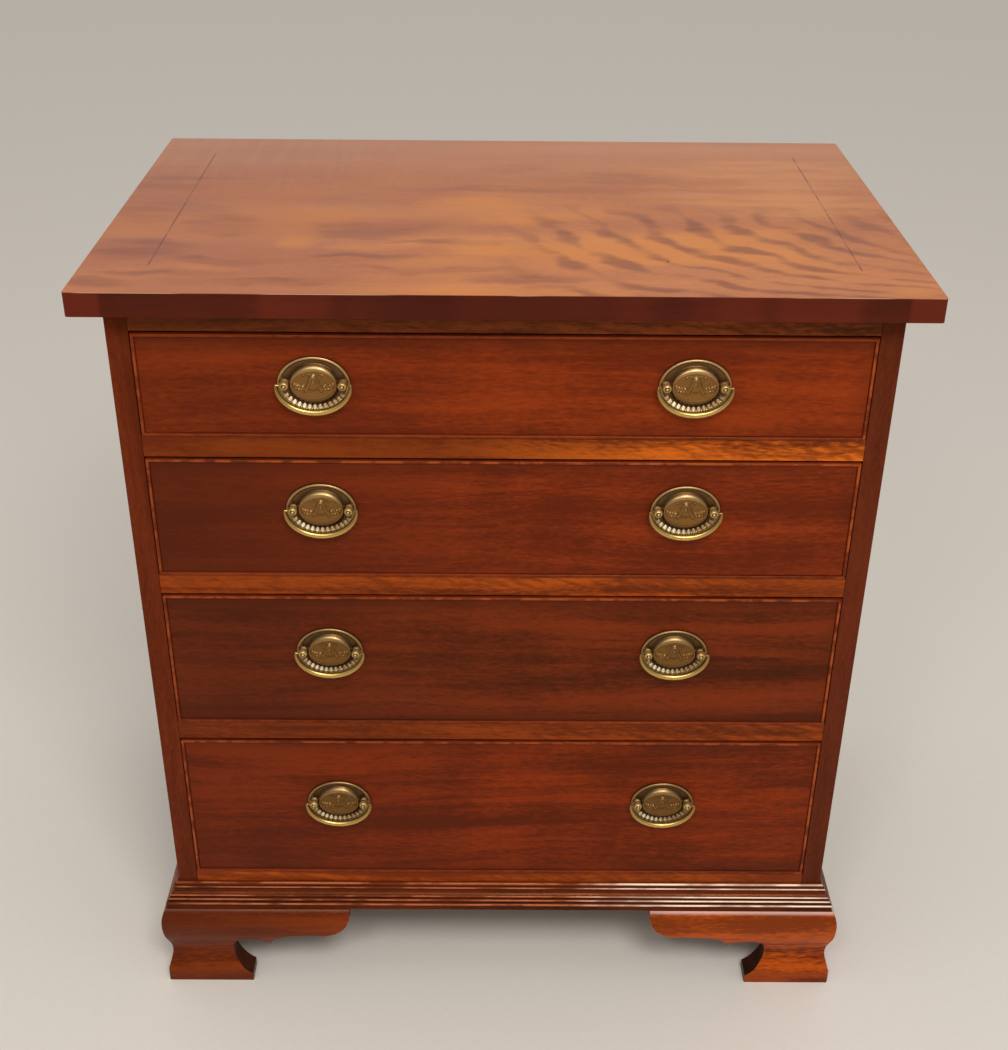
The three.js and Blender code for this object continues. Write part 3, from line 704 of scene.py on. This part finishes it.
def sawn(start, curves, span, steps):
    """A line sawn from a start along curves, each given by a handle and an end as shares."""
    points = [Vector(start)]
    for hu, hz, u, z in curves:
        first, handle = points[-1], Vector((hu * span, hz * foot_height))
        last = Vector((u * span, z * foot_height))
        for step in range(1, steps + 1):
            t = step / steps
            points.append(first * (1 - t) ** 2 + handle * 2 * t * (1 - t) + last * t**2)
    return points


def merged(first, second, way):
    """The first piece joined with the second, kept within it or cut by it, and the second gone."""
    joint = first.modifiers.new("joint", "BOOLEAN")
    joint.operation = way
    joint.solver = "EXACT"
    joint.object = second
    bpy.context.view_layer.update()
    mesh = bpy.data.meshes.new_from_object(first.evaluated_get(bpy.context.evaluated_depsgraph_get()))
    first.modifiers.clear()
    first.data = mesh
    bpy.data.objects.remove(second)
    return first


def bracket(mitred):
    """One bracket in millimetres, from the case's corner along +x with its face towards -y."""
    ogee = [(p * foot_projection, z * foot_height) for p, z in flowing(ogee_shares, ogee_steps)]
    outline = [*ogee, (-bracket_backing, 0), (-bracket_backing, foot_height)]
    start = [(-p if mitred else 0, -p, z) for p, z in outline]
    end = [(foot_span + saw_clear, -p, z) for p, z in outline]
    blank = lofted("blank", [start, end])
    toe = (toe_share * foot_span, 0)
    scroll = sawn(toe, scroll_shares, foot_span, scroll_steps)
    before, above = -foot_projection - saw_clear, foot_height + saw_clear
    kept = [(before, -saw_clear), (toe[0], -saw_clear), *scroll, (foot_span, above), (before, above)]
    behind = bracket_backing + saw_clear
    kept_wood = lofted("kept_wood", [[(x, y, z) for x, z in kept] for y in (before, behind)])
    return merged(blank, kept_wood, "INTERSECT")


def turned_to_side(piece):
    """The bracket mirrored, so that it runs down the side and its face looks towards -x."""
    piece.data.transform(Matrix(((0, 1, 0, 0), (1, 0, 0, 0), (0, 0, 1, 0), (0, 0, 0, 1))))
    piece.data.flip_normals()
    return piece


def front_foot():
    return merged(bracket(True), turned_to_side(bracket(True)), "UNION")


def rear_foot():
    toe = (rear_board_shares[0][0] * rear_board_span, 0)
    line = sawn(toe, rear_board_shares, rear_board_span, rear_board_steps)
    end, edge = (rear_board_span, foot_height), -bracket_backing
    outline = [(edge, 0), *line, end, (edge, foot_height)]
    across = lofted("across", [[(x, y, z) for x, z in outline] for y in (0, rear_board_thickness)])
    return merged(turned_to_side(bracket(False)), across, "UNION")


def foot_wood(along, seed):
    """Painted light and shade: browner and duller on the left, brighter on the right, which stood in
    the light, darker on the toe, and with a pale highlight along the top ledge.
    """
    wood = mahogany(
        f"foot_mahogany_{along}", stain(178, 75, 18), stain(94, 32, 10), seed, along, 2.0, 0.28, 0.3, 34
    )
    x, y, z = wood.axes()
    swell = wood.step(z, *foot_swell)
    # Painted light on the upper swell at the right
    bright = wood.product(swell, wood.step(x, 0, 0.2, 0, 0.12))
    colour = wood.blend(bright, wood.colour, stain(222, 102, 26))
    # Painted shade towards the left
    shaded = wood.product(wood.step(x, 0.15, -0.34), wood.times_plus(swell, 0.2, 0.7))
    colour = wood.blend(shaded, colour, stain(80, 28, 11))
    # Painted shade on the toe, below the flare
    colour = wood.blend(wood.step(z, *toe_shade, 0, 0.45), colour, stain(104, 38, 15))
    # A painted highlight along the top ledge, strongest on the right
    ledge_highlight = wood.product(wood.step(z, *foot_ledge), wood.step(x, 0.1, 0.2, 0.04, 0.6))
    wood.painted(wood.blend(ledge_highlight, colour, stain(214, 186, 178)))
    return wood


# The sawn edges: darker, partly as end grain and partly as painted shade
sawn_edge = mahogany("foot_sawn_edge", stain(70, 32, 14), stain(34, 16, 9), 53, "z", specular=0.15)
foot_woods = [foot_wood("x", 50), foot_wood("y", 51), sawn_edge]
block_pine = pine("block_pine", 55, "z")
for end, make in (("front", front_foot), ("rear", rear_foot)):
    for hand, side in (("left", 1), ("right", -1)):
        name = f"ogee_foot_{end}_{hand}"
        foot = make()
        foot.name = foot.data.name = name
        for wood in foot_woods:
            wood.coats(foot)
        for face in foot.data.polygons:
            middle = face.center
            runs_along_side = middle.y > middle.x if end == "front" else middle.x < 0.5
            face.material_index = int(runs_along_side)
            along, across = (1, 0) if runs_along_side else (0, 1)
            if abs(face.normal[across]) < sawn_slope and middle[along] > bracket_backing:
                face.material_index = 2
        back = 1 if end == "front" else -1
        corner = Vector((-side * half_case, case_front if end == "front" else case_back, 0))
        stand = Matrix.Translation(corner) @ Matrix.Diagonal((side * mm, back * mm, mm, 1))
        foot.data.transform(stand)
        smoothed(foot.data, 40)
        eased(foot, foot_arris, 50)
        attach(foot, "case")
        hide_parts(f"foot_{end}_{hand}")

        inner = Vector((bracket_backing, bracket_backing if end == "front" else rear_board_thickness))
        near = stand @ Vector((inner.x + foot_glue, inner.y + foot_glue, 0))
        far = stand @ Vector((glue_block, glue_block, foot_height))
        low, high = Vector(map(min, near, far)), Vector(map(max, near, far))
        block = planed(f"glue_block_{end}_{hand}", low, high, mm)
        block_pine.coats(block)
        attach(block, "case")

# The drawer fronts: solid mahogany of a deep red brown, each cut from another board, with long
# streaks along it. Old polish has darkened them towards their edges. Painted shade darkens their left
# ends further, as the light falls from the right, and their tops and feet as well.
front_arris = 0.35 * mm
front_grime = 26 * mm
# Each front's pale and dark tone, its seed, contrast and bands, and how far its left end, its top
# and its foot are darkened by painted shade
front_boards = {
    1: (stain(138, 50, 15), stain(94, 29, 10), 61, 1.2, 19, 0.3, 0.5, 0.0),
    2: (stain(136, 48, 16), stain(88, 27, 10), 64, 1.2, 22, 0.75, 0.2, 0.1),
    3: (stain(114, 41, 14), stain(60, 20, 8), 68, 1.1, 44, 0.45, 0.5, 0.45),
    4: (stain(132, 44, 9), stain(82, 24, 6), 71, 1.3, 30, 0.35, 0.25, 0.4),
}
for number, (*tones, seed, contrast, bands, left_shade, top_shade, foot_shade) in front_boards.items():
    node = f"drawer_{number}_front"
    low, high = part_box(node)
    front = mahogany(f"drawer_{number}_mahogany", *tones, seed, contrast=contrast, bands=bands)
    x, y, z = front.axes()
    left = front.step(x, low.x + front_grime, low.x)
    right = front.step(x, high.x - front_grime, high.x)
    foot = front.step(z, low.z + front_grime, low.z)
    head = front.step(z, high.z - front_grime, high.z)
    patchy = front.step(front.cloud(14), 0.35, 0.65, 0.05, 0.4)
    grime = front.product(front.largest(left, right, foot, head), patchy)
    # Towards one dark tone: old polish at the edges, and painted shade on the left end, the top and the
    # foot
    dimmed = front.largest(grime, front.step(x, 0.1, -0.3, 0, left_shade))
    dimmed = front.times_plus(head, top_shade, dimmed)
    dimmed = front.times_plus(foot, foot_shade, dimmed)
    front.painted(front.blend(dimmed, front.colour, stain(66, 22, 12)))
    fitted(node, front_arris, front)

# The cockbeads: thin strips of mahogany let in round each front and mitred at the corners. They
# stand proud of it with a rounded nose, with an orange red highlight painted along its ridge.
bead_width = 3.2 * mm
bead_proud = 2 * mm
bead_seat = 6 * mm
bead_nose_steps = 8
bead_nose_start = 0.35
bead_wear, bead_wear_wave = 0.1 * mm, (90, 90, 300)
bead_station = 11 * mm
bead_wood = mahogany("cockbead_mahogany", stain(116, 42, 17), stain(76, 25, 12), 81, roughness=0.3)
# A painted highlight: orange red along the ridge, broken into places
ridge_highlight_places = bead_wood.step(bead_wood.cloud(70, 3), 0.42, 0.6, 0.1, 1)
ridge_highlight_share = bead_wood.product(bead_wood.mark("ridge"), ridge_highlight_places)
bead_wood.painted(bead_wood.blend(ridge_highlight_share, bead_wood.colour, stain(176, 80, 32)))
# How strong the painted highlight on each bead's ridge is on its lower, right, upper and left length
bead_ridge_highlight = {
    1: (0.15, 0.8, 0.15, 0.5),
    2: (0.15, 0.8, 0.7, 0.55),
    3: (0.2, 0.8, 0.7, 0.6),
    4: (0.2, 0.8, 0.6, 0.7),
}


def bead_section():
    """Across the bead from its outer edge, and out from the drawer's face."""
    nose = []
    for step in range(bead_nose_steps + 1):
        angle = math.pi * step / bead_nose_steps
        fullness = bead_nose_start + (1 - bead_nose_start) * math.sin(angle)
        nose.append((bead_width * (1 - math.cos(angle)) / 2, bead_proud * fullness))
    return [(0, -bead_seat), *nose, (bead_width, -bead_seat)]


def cockbead(name, low, high, ridge_highlights):
    """One bead through its four lengths, with how strong the painted highlight is at each of its points.
    """
    corners = [(0, 0), (1, 0), (1, 1), (0, 1)]
    rows, ridge = [], []
    for (x0, z0), (x1, z1), highlight_and_wear in zip(corners, corners[1:] + corners[:1], ridge_highlights):
        length = (high.x - low.x) if x0 != x1 else (high.z - low.z)
        stations = round(length / bead_station)
        for station in range(stations):
            share = station / stations
            row = []
            for across, out in bead_section():
                x_from, x_to = ([low.x + across, high.x - across][x] for x in (x0, x1))
                z_from, z_to = ([low.z + across, high.z - across][z] for z in (z0, z1))
                x, z = x_from + (x_to - x_from) * share, z_from + (z_to - z_from) * share
                spot = Vector((x, z, across)) * Vector(bead_wear_wave)
                wear = noise.noise(spot) * bead_wear if out > 0 else 0
                row.append((x, case_front - min(out + wear, bead_proud), z))
                ridge.append(max(out / bead_proud, 0) ** 4 * highlight_and_wear)
            rows.append(row)
    bead = lofted(name, rows, ring=True, sharp=50)
    marked(bead, "ridge", ridge)
    return bead


for number in front_boards:
    low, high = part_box(f"drawer_{number}_cockbead")
    bead = cockbead(f"bead_{number}", low, high, bead_ridge_highlight[number])
    bead_wood.coats(bead)
    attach(bead, f"drawer_{number}")
    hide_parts(f"drawer_{number}_cockbead")

# The drawer linings: thin boards of plain pale oak, dovetailed into the front and the back, with
# the bottom slid into grooves from behind. The wood is bare and has gone the colour of honey.
lining_arris = 0.3 * mm


def oak(name, seed, along):
    wood = mahogany(name, stain(190, 152, 100), stain(152, 112, 68), seed, along, 0.8, 0.68, 0.25)
    flecks = wood.step(wood.cloud((60, 500, 90), 1, place=wood.board), 0.66, 0.72)
    wood.painted(wood.blend(wood.product(flecks, 0.4), wood.colour, stain(212, 180, 130)))
    return wood


oak_along = {along: oak(f"lining_oak_{along}", 90 + n, along) for n, along in enumerate("xy")}
for number in front_boards:
    for part, along in (("side_left", "y"), ("side_right", "y"), ("back", "x"), ("bottom", "x")):
        fitted(f"drawer_{number}_{part}", lining_arris, oak_along[along])

# The handles' plates: thin brass ovals, stamped with a rim, a hollow band with a row of beads
# below, and a raised middle with a bow, two ribbons and swags of husks. The hollows have gone dark.
plate_flat_rings, plate_least_ring = 30, 0.02

# The plate's rings in millimetres: half width, half height and rise from the drawer's face, each
# with its colour in the upper half and in the lower half. The colours hold the patina, darker in the
# hollows, and painted light and shade: lighter on the shoulder, the rim and the upper half, which
# face the light from above, and darker on the lower half, which faces down.
plate_rings = [
    (19.0, 12.6, 4.55, (142, 101, 56), (148, 106, 56)), (19.7, 13.6, 4.9, (174, 136, 86), (134, 96, 56)),
    (20.2, 14.9, 5.0, (186, 152, 100), (124, 90, 56)), (20.7, 16.4, 4.4, (182, 148, 98), (108, 80, 54)),
    (21.2, 17.7, 3.2, (166, 134, 88), (96, 70, 48)), (21.8, 18.7, 1.9, (124, 94, 58), (100, 74, 54)),
    (22.6, 19.5, 1.15, (94, 66, 38), (98, 72, 50)), (24.8, 20.7, 0.85, (104, 74, 44), (112, 84, 58)),
    (27.2, 22.0, 0.85, (116, 86, 54), (118, 90, 60)), (28.2, 22.7, 1.2, (138, 108, 70), (128, 98, 64)),
    (29.2, 23.4, 2.0, (178, 144, 98), (150, 120, 78)),
    (30.4, 24.3, 2.6, (196, 164, 112), (176, 146, 92)),
    (31.4, 25.1, 2.5, (194, 160, 108), (172, 140, 84)),
    (32.1, 25.7, 1.9, (172, 132, 86), (140, 108, 60)), (32.5, 26.0, 1.0, (136, 92, 56), (94, 66, 36)),
]
# Where the plate is rubbed bright and painted with a highlight, dulled to the right and far left
crest_bright, crest_dull = (255, 240, 194), (164, 128, 76)
crest_dull_ends = ((-8, 14), (-18, -27))
# Each drawer's plates are darker further down, as painted shade
plate_brightness = {1: 0.95, 2: 0.86, 3: 0.74, 4: 0.7}
plate_drop = 0.7
plate_ring_steps = 4
plate_turns = 360
bead_count = 13
bead_pitch = 4.6
bead_line = (28.2, 22.1)
bead_half_width, bead_half_length, bead_rise = 2.0, 2.3, 1.3
ornament_rise = 0.7
boss_roundness = 0.8
grime_share, ornament_grime, bead_grime = 0.22, 0.25, 0.2
post_spacing = 51


def dome(x, z, centre, half_along, half_across, lean, rise, squareness=2.0):
    """A rounded boss, leaning by an angle, that rises from the plate."""
    c, s = math.cos(lean), math.sin(lean)
    along = ((x - centre[0]) * c + (z - centre[1]) * s) / half_along
    across = (-(x - centre[0]) * s + (z - centre[1]) * c) / half_across
    reach = np.abs(along) ** squareness + np.abs(across) ** squareness
    return rise * np.clip(1 - reach, 0, 1) ** boss_roundness


def ribbon(x, z, route, half_width, rise):
    """A rounded band along a route."""
    nearest = np.full(x.shape, 1e6)
    for (x0, z0), (x1, z1) in zip(route, route[1:]):
        dx, dz = x1 - x0, z1 - z0
        share = np.clip(((x - x0) * dx + (z - z0) * dz) / (dx * dx + dz * dz), 0, 1)
        nearest = np.minimum(nearest, np.hypot(x - x0 - share * dx, z - z0 - share * dz))
    return rise * np.clip(1 - (nearest / half_width) ** 2, 0, 1)


def ornament(x, z):
    """The bow, the ribbons and the husks on the raised middle, alike on both sides."""
    x = np.abs(x)
    bow = flowing([(1.0, 8.8), (3.4, 9.9), (5.8, 9.9), (7.8, 9.2)], 4)
    tail = flowing([(2.0, 7.8), (3.3, 3.6), (4.6, -0.6), (6.8, -5.8)], 4)
    fold = flowing([(0.9, 6.4), (1.9, 1.4), (3.2, -4.4)], 4)
    swag = flowing([(6.6, -3.8), (9.6, -2.6), (12.8, -2.2), (15.4, -1.6), (17.2, 0.2)], 4)
    shapes = [
        dome(x, z, (0, 8.2), 2.8, 2.4, 0, 2.5),
        dome(x, z, (0, 3.4), 2.0, 3.8, 0, 2.0),
        dome(x, z, (0, -1.0), 4.6, 5.4, 0, 0.8),
        dome(x, z, (8.0, 9.1), 1.6, 1.3, 0, 1.0),
        ribbon(x, z, bow, 1.1, 0.7),
        ribbon(x, z, tail, 1.6, 1.4),
        ribbon(x, z, fold, 0.8, 1.1),
        ribbon(x, z, swag, 2.3, 1.0),
    ]
    husks = [
        (9.3, -0.9, 0.1, 1.7), (11.9, -0.6, 0.2, 1.1), (14.1, -0.2, 0.4, 1.5), (16.5, 0.9, 0.8, 1.1),
        (10.3, -4.1, 0.1, 1.1), (12.8, -3.7, 0.3, 1.4), (15.3, -3.0, 0.5, 1.1), (17.0, -1.4, 0.9, 0.9),
    ]
    for hx, hz, lean, size in husks:
        shapes.append(dome(x, z, (hx, hz), 1.2 * size, size, lean, 0.8 + 0.9 * size))
    return np.max(shapes, axis=0)


def bead_row(x, z):
    """The row of beads, spaced evenly round the lower half of the hollow band."""
    fine = np.linspace(math.pi, 2 * math.pi, 2000)
    line = np.stack([bead_line[0] * np.cos(fine), bead_line[1] * np.sin(fine)])
    walked = np.concatenate([[0], np.cumsum(np.hypot(*np.diff(line)))])
    first = walked[-1] / 2 - bead_pitch * (bead_count - 1) / 2
    height = np.zeros(x.shape)
    for number in range(bead_count):
        angle = np.interp(first + bead_pitch * number, walked, fine)
        centre = (bead_line[0] * math.cos(angle), bead_line[1] * math.sin(angle))
        lean = math.atan2(bead_line[0] * math.sin(angle), bead_line[1] * math.cos(angle))
        boss = dome(x, z, centre, bead_half_length, bead_half_width, lean, bead_rise, 2.2)
        height = np.maximum(height, boss)
    return height


def patinated(mesh, colours):
    """The colour of the brass at each point of a piece, which its finish reads."""
    patina = mesh.attributes.new("patina", "FLOAT_COLOR", "POINT")
    patina.data.foreach_set("color", np.array([stain(*colour) for colour in colours]).ravel())


def dirt(rise, height):
    """How dirty a boss is: 1 at a low height up its side, and 0 at its foot and further up."""
    return np.clip(1 - np.abs(rise - height) / height, 0, 1)


def stamped_plate():
    """The plate, through its rings, with its colours and how far each point is rubbed bright and
    carries a painted highlight.
    """
    rings = [[*size, *upper, *lower] for *size, upper, lower in plate_rings]
    flat = []
    for share in np.linspace(plate_least_ring, 1, plate_flat_rings, endpoint=False):
        flat.append([rings[0][0] * share, rings[0][1] * share, *rings[0][2:]])
    rings = np.array([*flat, *flowing(rings, plate_ring_steps)])
    turn = np.linspace(0, 2 * math.pi, plate_turns, endpoint=False)
    x = rings[:, :1] * np.cos(turn)
    z = rings[:, 1:2] * np.sin(turn)
    raised, beads = ornament(x, z) * ornament_rise, bead_row(x, z)
    rise = rings[:, 2:3] + raised + beads
    # Painted light and shade: the upper half takes the lit colour and the lower half the shaded one
    lit_from_above = (0.5 + 0.5 * np.sin(turn))[None, :, None]
    colours = rings[:, None, 3:6] * lit_from_above + rings[:, None, 6:9] * (1 - lit_from_above)
    grimy = dirt(raised, ornament_grime) + dirt(beads, bead_grime)
    colours = colours * (1 - grime_share * grimy[..., None])
    # Rubbed bright on the ornament's high spots and the beads, partly wear and partly painted highlight
    highlight_and_wear = 0.4 * np.clip(raised - 0.5, 0, 1.5) ** 2 + np.clip(beads / bead_rise * 2.4 - 0.4, 0, 1)
    highlight_and_wear = np.minimum(highlight_and_wear, 1)[..., None]
    dull = [np.clip((x - start) / (end - start), 0, 1) for start, end in crest_dull_ends]
    dull = np.maximum(*dull)[..., None]
    crest = np.array(crest_bright) * (1 - dull) + np.array(crest_dull) * dull
    colours = colours * (1 - highlight_and_wear) + crest * highlight_and_wear
    points = np.stack([x, -rise, z - plate_drop], axis=-1).reshape(-1, 3)
    rim = np.stack([x[-1], np.full(turn.shape, -glue / mm), z[-1] - plate_drop], axis=-1)
    points = np.concatenate([points, rim]) * mm
    rows = [points[i:i + plate_turns] for i in range(0, len(points), plate_turns)]
    plate = lofted("plate_pattern", rows, sharp=60)
    patinated(plate.data, [*colours.reshape(-1, 3), *colours[-1]])
    marked(plate, "highlight_and_wear", [*highlight_and_wear.ravel(), *highlight_and_wear[-1].ravel()])
    return plate


spot_tint = (0.6, 0.52, 0.42, 1)


def brass(name, roughness, metallic=1.0, brightness=1.0):
    """Old brass, rubbed bright where it stands up and brown in the hollows, with small dark spots, in
    the colours given on its points, which also hold painted light and shade.
    """
    metal = Finish(name, roughness, 0.5, metallic)
    patina = metal.add("Attribute", attribute_name="patina").outputs["Color"]
    spots = metal.cloud(260, 3)
    smears = metal.cloud(60, 2)
    spotted = metal.times_plus(spots, 0.5, metal.product(smears, 0.5))
    spotted = metal.product(metal.step(spotted, 0.48, 0.7), 0.4)
    patina = metal.blend(1, patina, (brightness, brightness, brightness, 1), "MULTIPLY")
    metal.painted(metal.blend(spotted, patina, spot_tint, "MULTIPLY"))
    metal.polished(spots, 0.06)
    metal.textured(spots, 0.05 * mm, 0.08)
    return metal


plate_brasses = {}
for number, brightness in plate_brightness.items():
    metal = brass(f"plate_brass_{number}", 0.4, brightness=brightness)
    # Less metallic under the painted highlight, so that it shows pale
    metal.coated("Metallic", metal.step(metal.mark("highlight_and_wear"), 0.3, 1, 1, 0.1))
    plate_brasses[number] = metal
pattern = stamped_plate()
plate_brasses[1].coats(pattern)
hinges = [joint for joint in frame["joints"] if joint["type"] == "hinge"]
swings = {joint["child"]: Vector(joint["pos_m"]) for joint in hinges}
handles = [(bail, *bail.split("_")[1:]) for bail in swings]


def mounted(name, mesh, bail, body):
    """A copy of one of the handle's pieces in its place on the drawer, given by its bail's pivot."""
    piece = added(name, mesh)
    pivot = swings[bail]
    piece.location = (pivot.x, pivot.y if body == bail else case_front, pivot.z)
    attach(piece, body)
    return piece


for bail, number, hand in handles:
    plate = mounted(f"backplate_{number}_{hand}", pattern.data, bail, f"drawer_{number}")
    plate_brasses[int(number)].recoats(plate)
    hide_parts(f"handle_plate_{number}_{hand}")
bpy.data.objects.remove(pattern)

# The posts: turned brass, with a collar on the plate and a round head that is bored across for the
# bail's pins. Their stems go through the drawer front and take a round nut inside.
post_turns = 40
post_head_radius = 4.1

# The post's profile in millimetres: radius, and height from the drawer's face
post_profile = [
    (0.01, -25.2), (1.7, -25.2), (2, -24.9), (2, -23.2), (4.2, -23.2), (4.6, -22.8), (4.6, -20.6),
    (4.2, -20.2), (2, -20.2), (2, 0.4), (3.3, 0.4), (3.6, 0.8), (3.5, 1.6), (3.1, 2.2), (2.7, 2.7),
    (2.4, 3.3), (2.4, 3.9), (3.1, 4.7), (3.8, 6.0), (4.1, 7.4), (4.0, 8.8), (3.6, 9.9),
    (3.0, 10.6), (2.4, 10.9), (2.1, 10.5), (1.6, 10.5), (1.3, 11.0), (0.9, 11.5), (0.5, 11.7),
    (0.01, 11.75),
]
# The post's colours up to each height: stem and nut, collar, neck darker as painted shade, head
post_tones = [(0, (150, 122, 74)), (3.0, (172, 144, 104)), (4.5, (136, 108, 74)), (12, (202, 166, 98))]
post_groove, post_groove_from = (1.3, 2.3), 10
# The groove on the head darker, and the nub in its middle lighter as a painted highlight
post_groove_tone, post_nub_highlight = (98, 72, 42), (208, 178, 118)
pin_hole_radius, pin_hole_end, pin_hole_turns = 1.7, 6, 20
pin_depth = 2.9
bail_stand_off = 7.5


def turned(name, profile, turns):
    rows = []
    for radius, height in profile:
        rows.append([(radius * x, -height, radius * z) for x, z in around(turns)])
    return lofted(name, rows, sharp=40)


def bored_post(side):
    post = turned("post", post_profile, post_turns)
    hole = [(pin_hole_radius, post_head_radius - pin_depth), (pin_hole_radius, pin_hole_end)]
    drill = turned("drill", hole, pin_hole_turns)
    turn = Matrix.Rotation(math.radians(90 * side), 4, "Z")
    drill.data.transform(Matrix.Translation((0, -bail_stand_off, 0)) @ turn)
    post = merged(post, drill, "DIFFERENCE")
    post.data.transform(Matrix.Translation((side * post_spacing / 2, 0, 0)))
    return post


posts = merged(bored_post(-1), bored_post(1), "UNION")
posts.data.transform(Matrix.Scale(mm, 4))
smoothed(posts.data, 40)
posts.data.materials.clear()
brass("post_brass", 0.42, 0.75).coats(posts)
post_colours = []
for vertex in posts.data.vertices:
    x, height, z = vertex.co.x / mm, -vertex.co.y / mm, vertex.co.z / mm
    from_axis = math.hypot(abs(x) - post_spacing / 2, z)
    tone = next(colour for reach, colour in post_tones if height <= reach)
    if height > post_groove_from and from_axis < post_groove[1]:
        tone = post_nub_highlight if from_axis < post_groove[0] else post_groove_tone
    post_colours.append(tone)
patinated(posts.data, post_colours)
for bail, number, hand in handles:
    mounted(f"posts_{number}_{hand}", posts.data, bail, f"drawer_{number}")
bpy.data.objects.remove(posts)

# The bails: cast brass bars, thick at the grip and thin at the arms, whose two pins turn in the
# posts' heads. Hands have kept the grip bright.
bail_half_span, bail_drop, bail_arm_top = 32.9, 25.9, 1.2
bail_arm_radius, bail_grip_radius, bail_swell = 1.2, 2.9, 0.6
bail_tip_inset, bail_tip_share = 0.2, 0.55
bail_arm_tone, bail_grip_tone = (156, 120, 68), (212, 178, 102)
bail_pin_radius, pin_end_gap = 1.2, 0.5
pin_tip_radius, pin_tip_length, pin_turns = 0.9, 0.3, 18
bail_steps, bail_sides = 56, 18


def bail_bar():
    tip = (-bail_half_span + bail_tip_inset, bail_arm_top)
    route = [tip, (-bail_half_span, bail_arm_top * 0.4)]
    for step in range(bail_steps + 1):
        turn = math.pi * step / bail_steps
        route.append((-bail_half_span * math.cos(turn), -bail_drop * math.sin(turn)))
    route += [(-x, z) for x, z in reversed(route[:2])]
    path = [Vector(point) for point in route]
    rows = []
    for i, point in enumerate(path):
        along = (path[min(i + 1, len(path) - 1)] - path[max(i - 1, 0)]).normalized()
        out = Vector((-along.y, along.x))
        fullness = max(-point.y / bail_drop, 0) ** bail_swell
        radius = bail_arm_radius + (bail_grip_radius - bail_arm_radius) * fullness
        radius *= bail_tip_share if i in (0, len(path) - 1) else 1
        row = []
        for outwards, forwards in around(bail_sides):
            spot = point + out * radius * outwards
            row.append((spot.x, radius * forwards, spot.y))
        rows.append(row)
    return lofted("bail_pattern", rows, sharp=50)


def bail_pin(side):
    inner = post_spacing / 2 + post_head_radius - pin_depth + pin_end_gap
    tip = [(pin_tip_radius, inner), (bail_pin_radius, inner + pin_tip_length)]
    pin = turned("pin", [*tip, (bail_pin_radius, bail_half_span)], pin_turns)
    pin.data.transform(Matrix.Rotation(math.radians(90 * side), 4, "Z"))
    return pin


grip = merged(merged(bail_bar(), bail_pin(-1), "UNION"), bail_pin(1), "UNION")
grip.data.transform(Matrix.Scale(mm, 4))
smoothed(grip.data, 45)
grip.data.materials.clear()
brass("bail_brass", 0.33).coats(grip)
fullness = [min(max(-vertex.co.z / mm / bail_drop, 0), 1) for vertex in grip.data.vertices]
arm, middle_of_grip = Vector(bail_arm_tone), Vector(bail_grip_tone)
patinated(grip.data, [arm.lerp(middle_of_grip, share) for share in fullness])
for bail, number, hand in handles:
    piece = mounted(f"bail_grip_{number}_{hand}", grip.data, bail, bail)
    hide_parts(f"handle_bail_{number}_{hand}")
bpy.data.objects.remove(grip)

# The room: a plain pale floor and soft light, a large lamp high in front of the chest and to the
# right, and a weaker one to the left. None of it belongs to the chest.
floor_half = 30
floor_shade = stain(226, 217, 205)
wall_shade = stain(222, 219, 218)
room_light, mirrored_room = 0.62, 0.6
lamp_aim = 0.4
lamps = [
    ("lamp_right", (0.45, -2.0, 2.6), 0.9, 40),
    ("lamp_left", (-0.62, -2.1, 2.5), 0.45, 10),
]
corners = [(x * floor_half, y * floor_half, 0) for x, y in ((-1, -1), (1, -1), (1, 1), (-1, 1))]
floor = shown("floor", corners, [(0, 1, 2, 3)])
ground = Finish("floor_finish", 0.9, 0.1)
ground.painted(ground.blend(ground.cloud(150, 3), floor_shade, shade(floor_shade, 0.94)))
ground.coats(floor)

middle = Vector((0, 0, lamp_aim))
for name, place, size, power in lamps:
    lamp = added(name, bpy.data.lights.new(name, "AREA"))
    lamp.data.size = size
    lamp.data.energy = power
    lamp.location = place
    lamp.rotation_euler = (middle - Vector(place)).to_track_quat("-Z", "Y").to_euler()

world = bpy.data.worlds.new("room")
bpy.context.scene.world = world
world.use_nodes = True
room = Layers(world.node_tree)
rays = room.add("LightPath").outputs
seen = room.largest(rays["Is Camera Ray"], rays["Is Transmission Ray"])
seen_or_mirrored = room.largest(seen, rays["Is Glossy Ray"])
wall_light = room.times_plus(seen, 1 - mirrored_room, mirrored_room)
plain = room.add("Background", {"Color": (1, 1, 1, 1), "Strength": room_light}).outputs[0]
walls = room.add("Background", {"Color": wall_shade, "Strength": wall_light}).outputs[0]
light = room.add("MixShader", {0: seen_or_mirrored, 1: plain, 2: walls}).outputs[0]
room.feed(world.node_tree.nodes["World Output"].inputs["Surface"], light)
bpy.context.scene.view_settings.view_transform = "Standard"
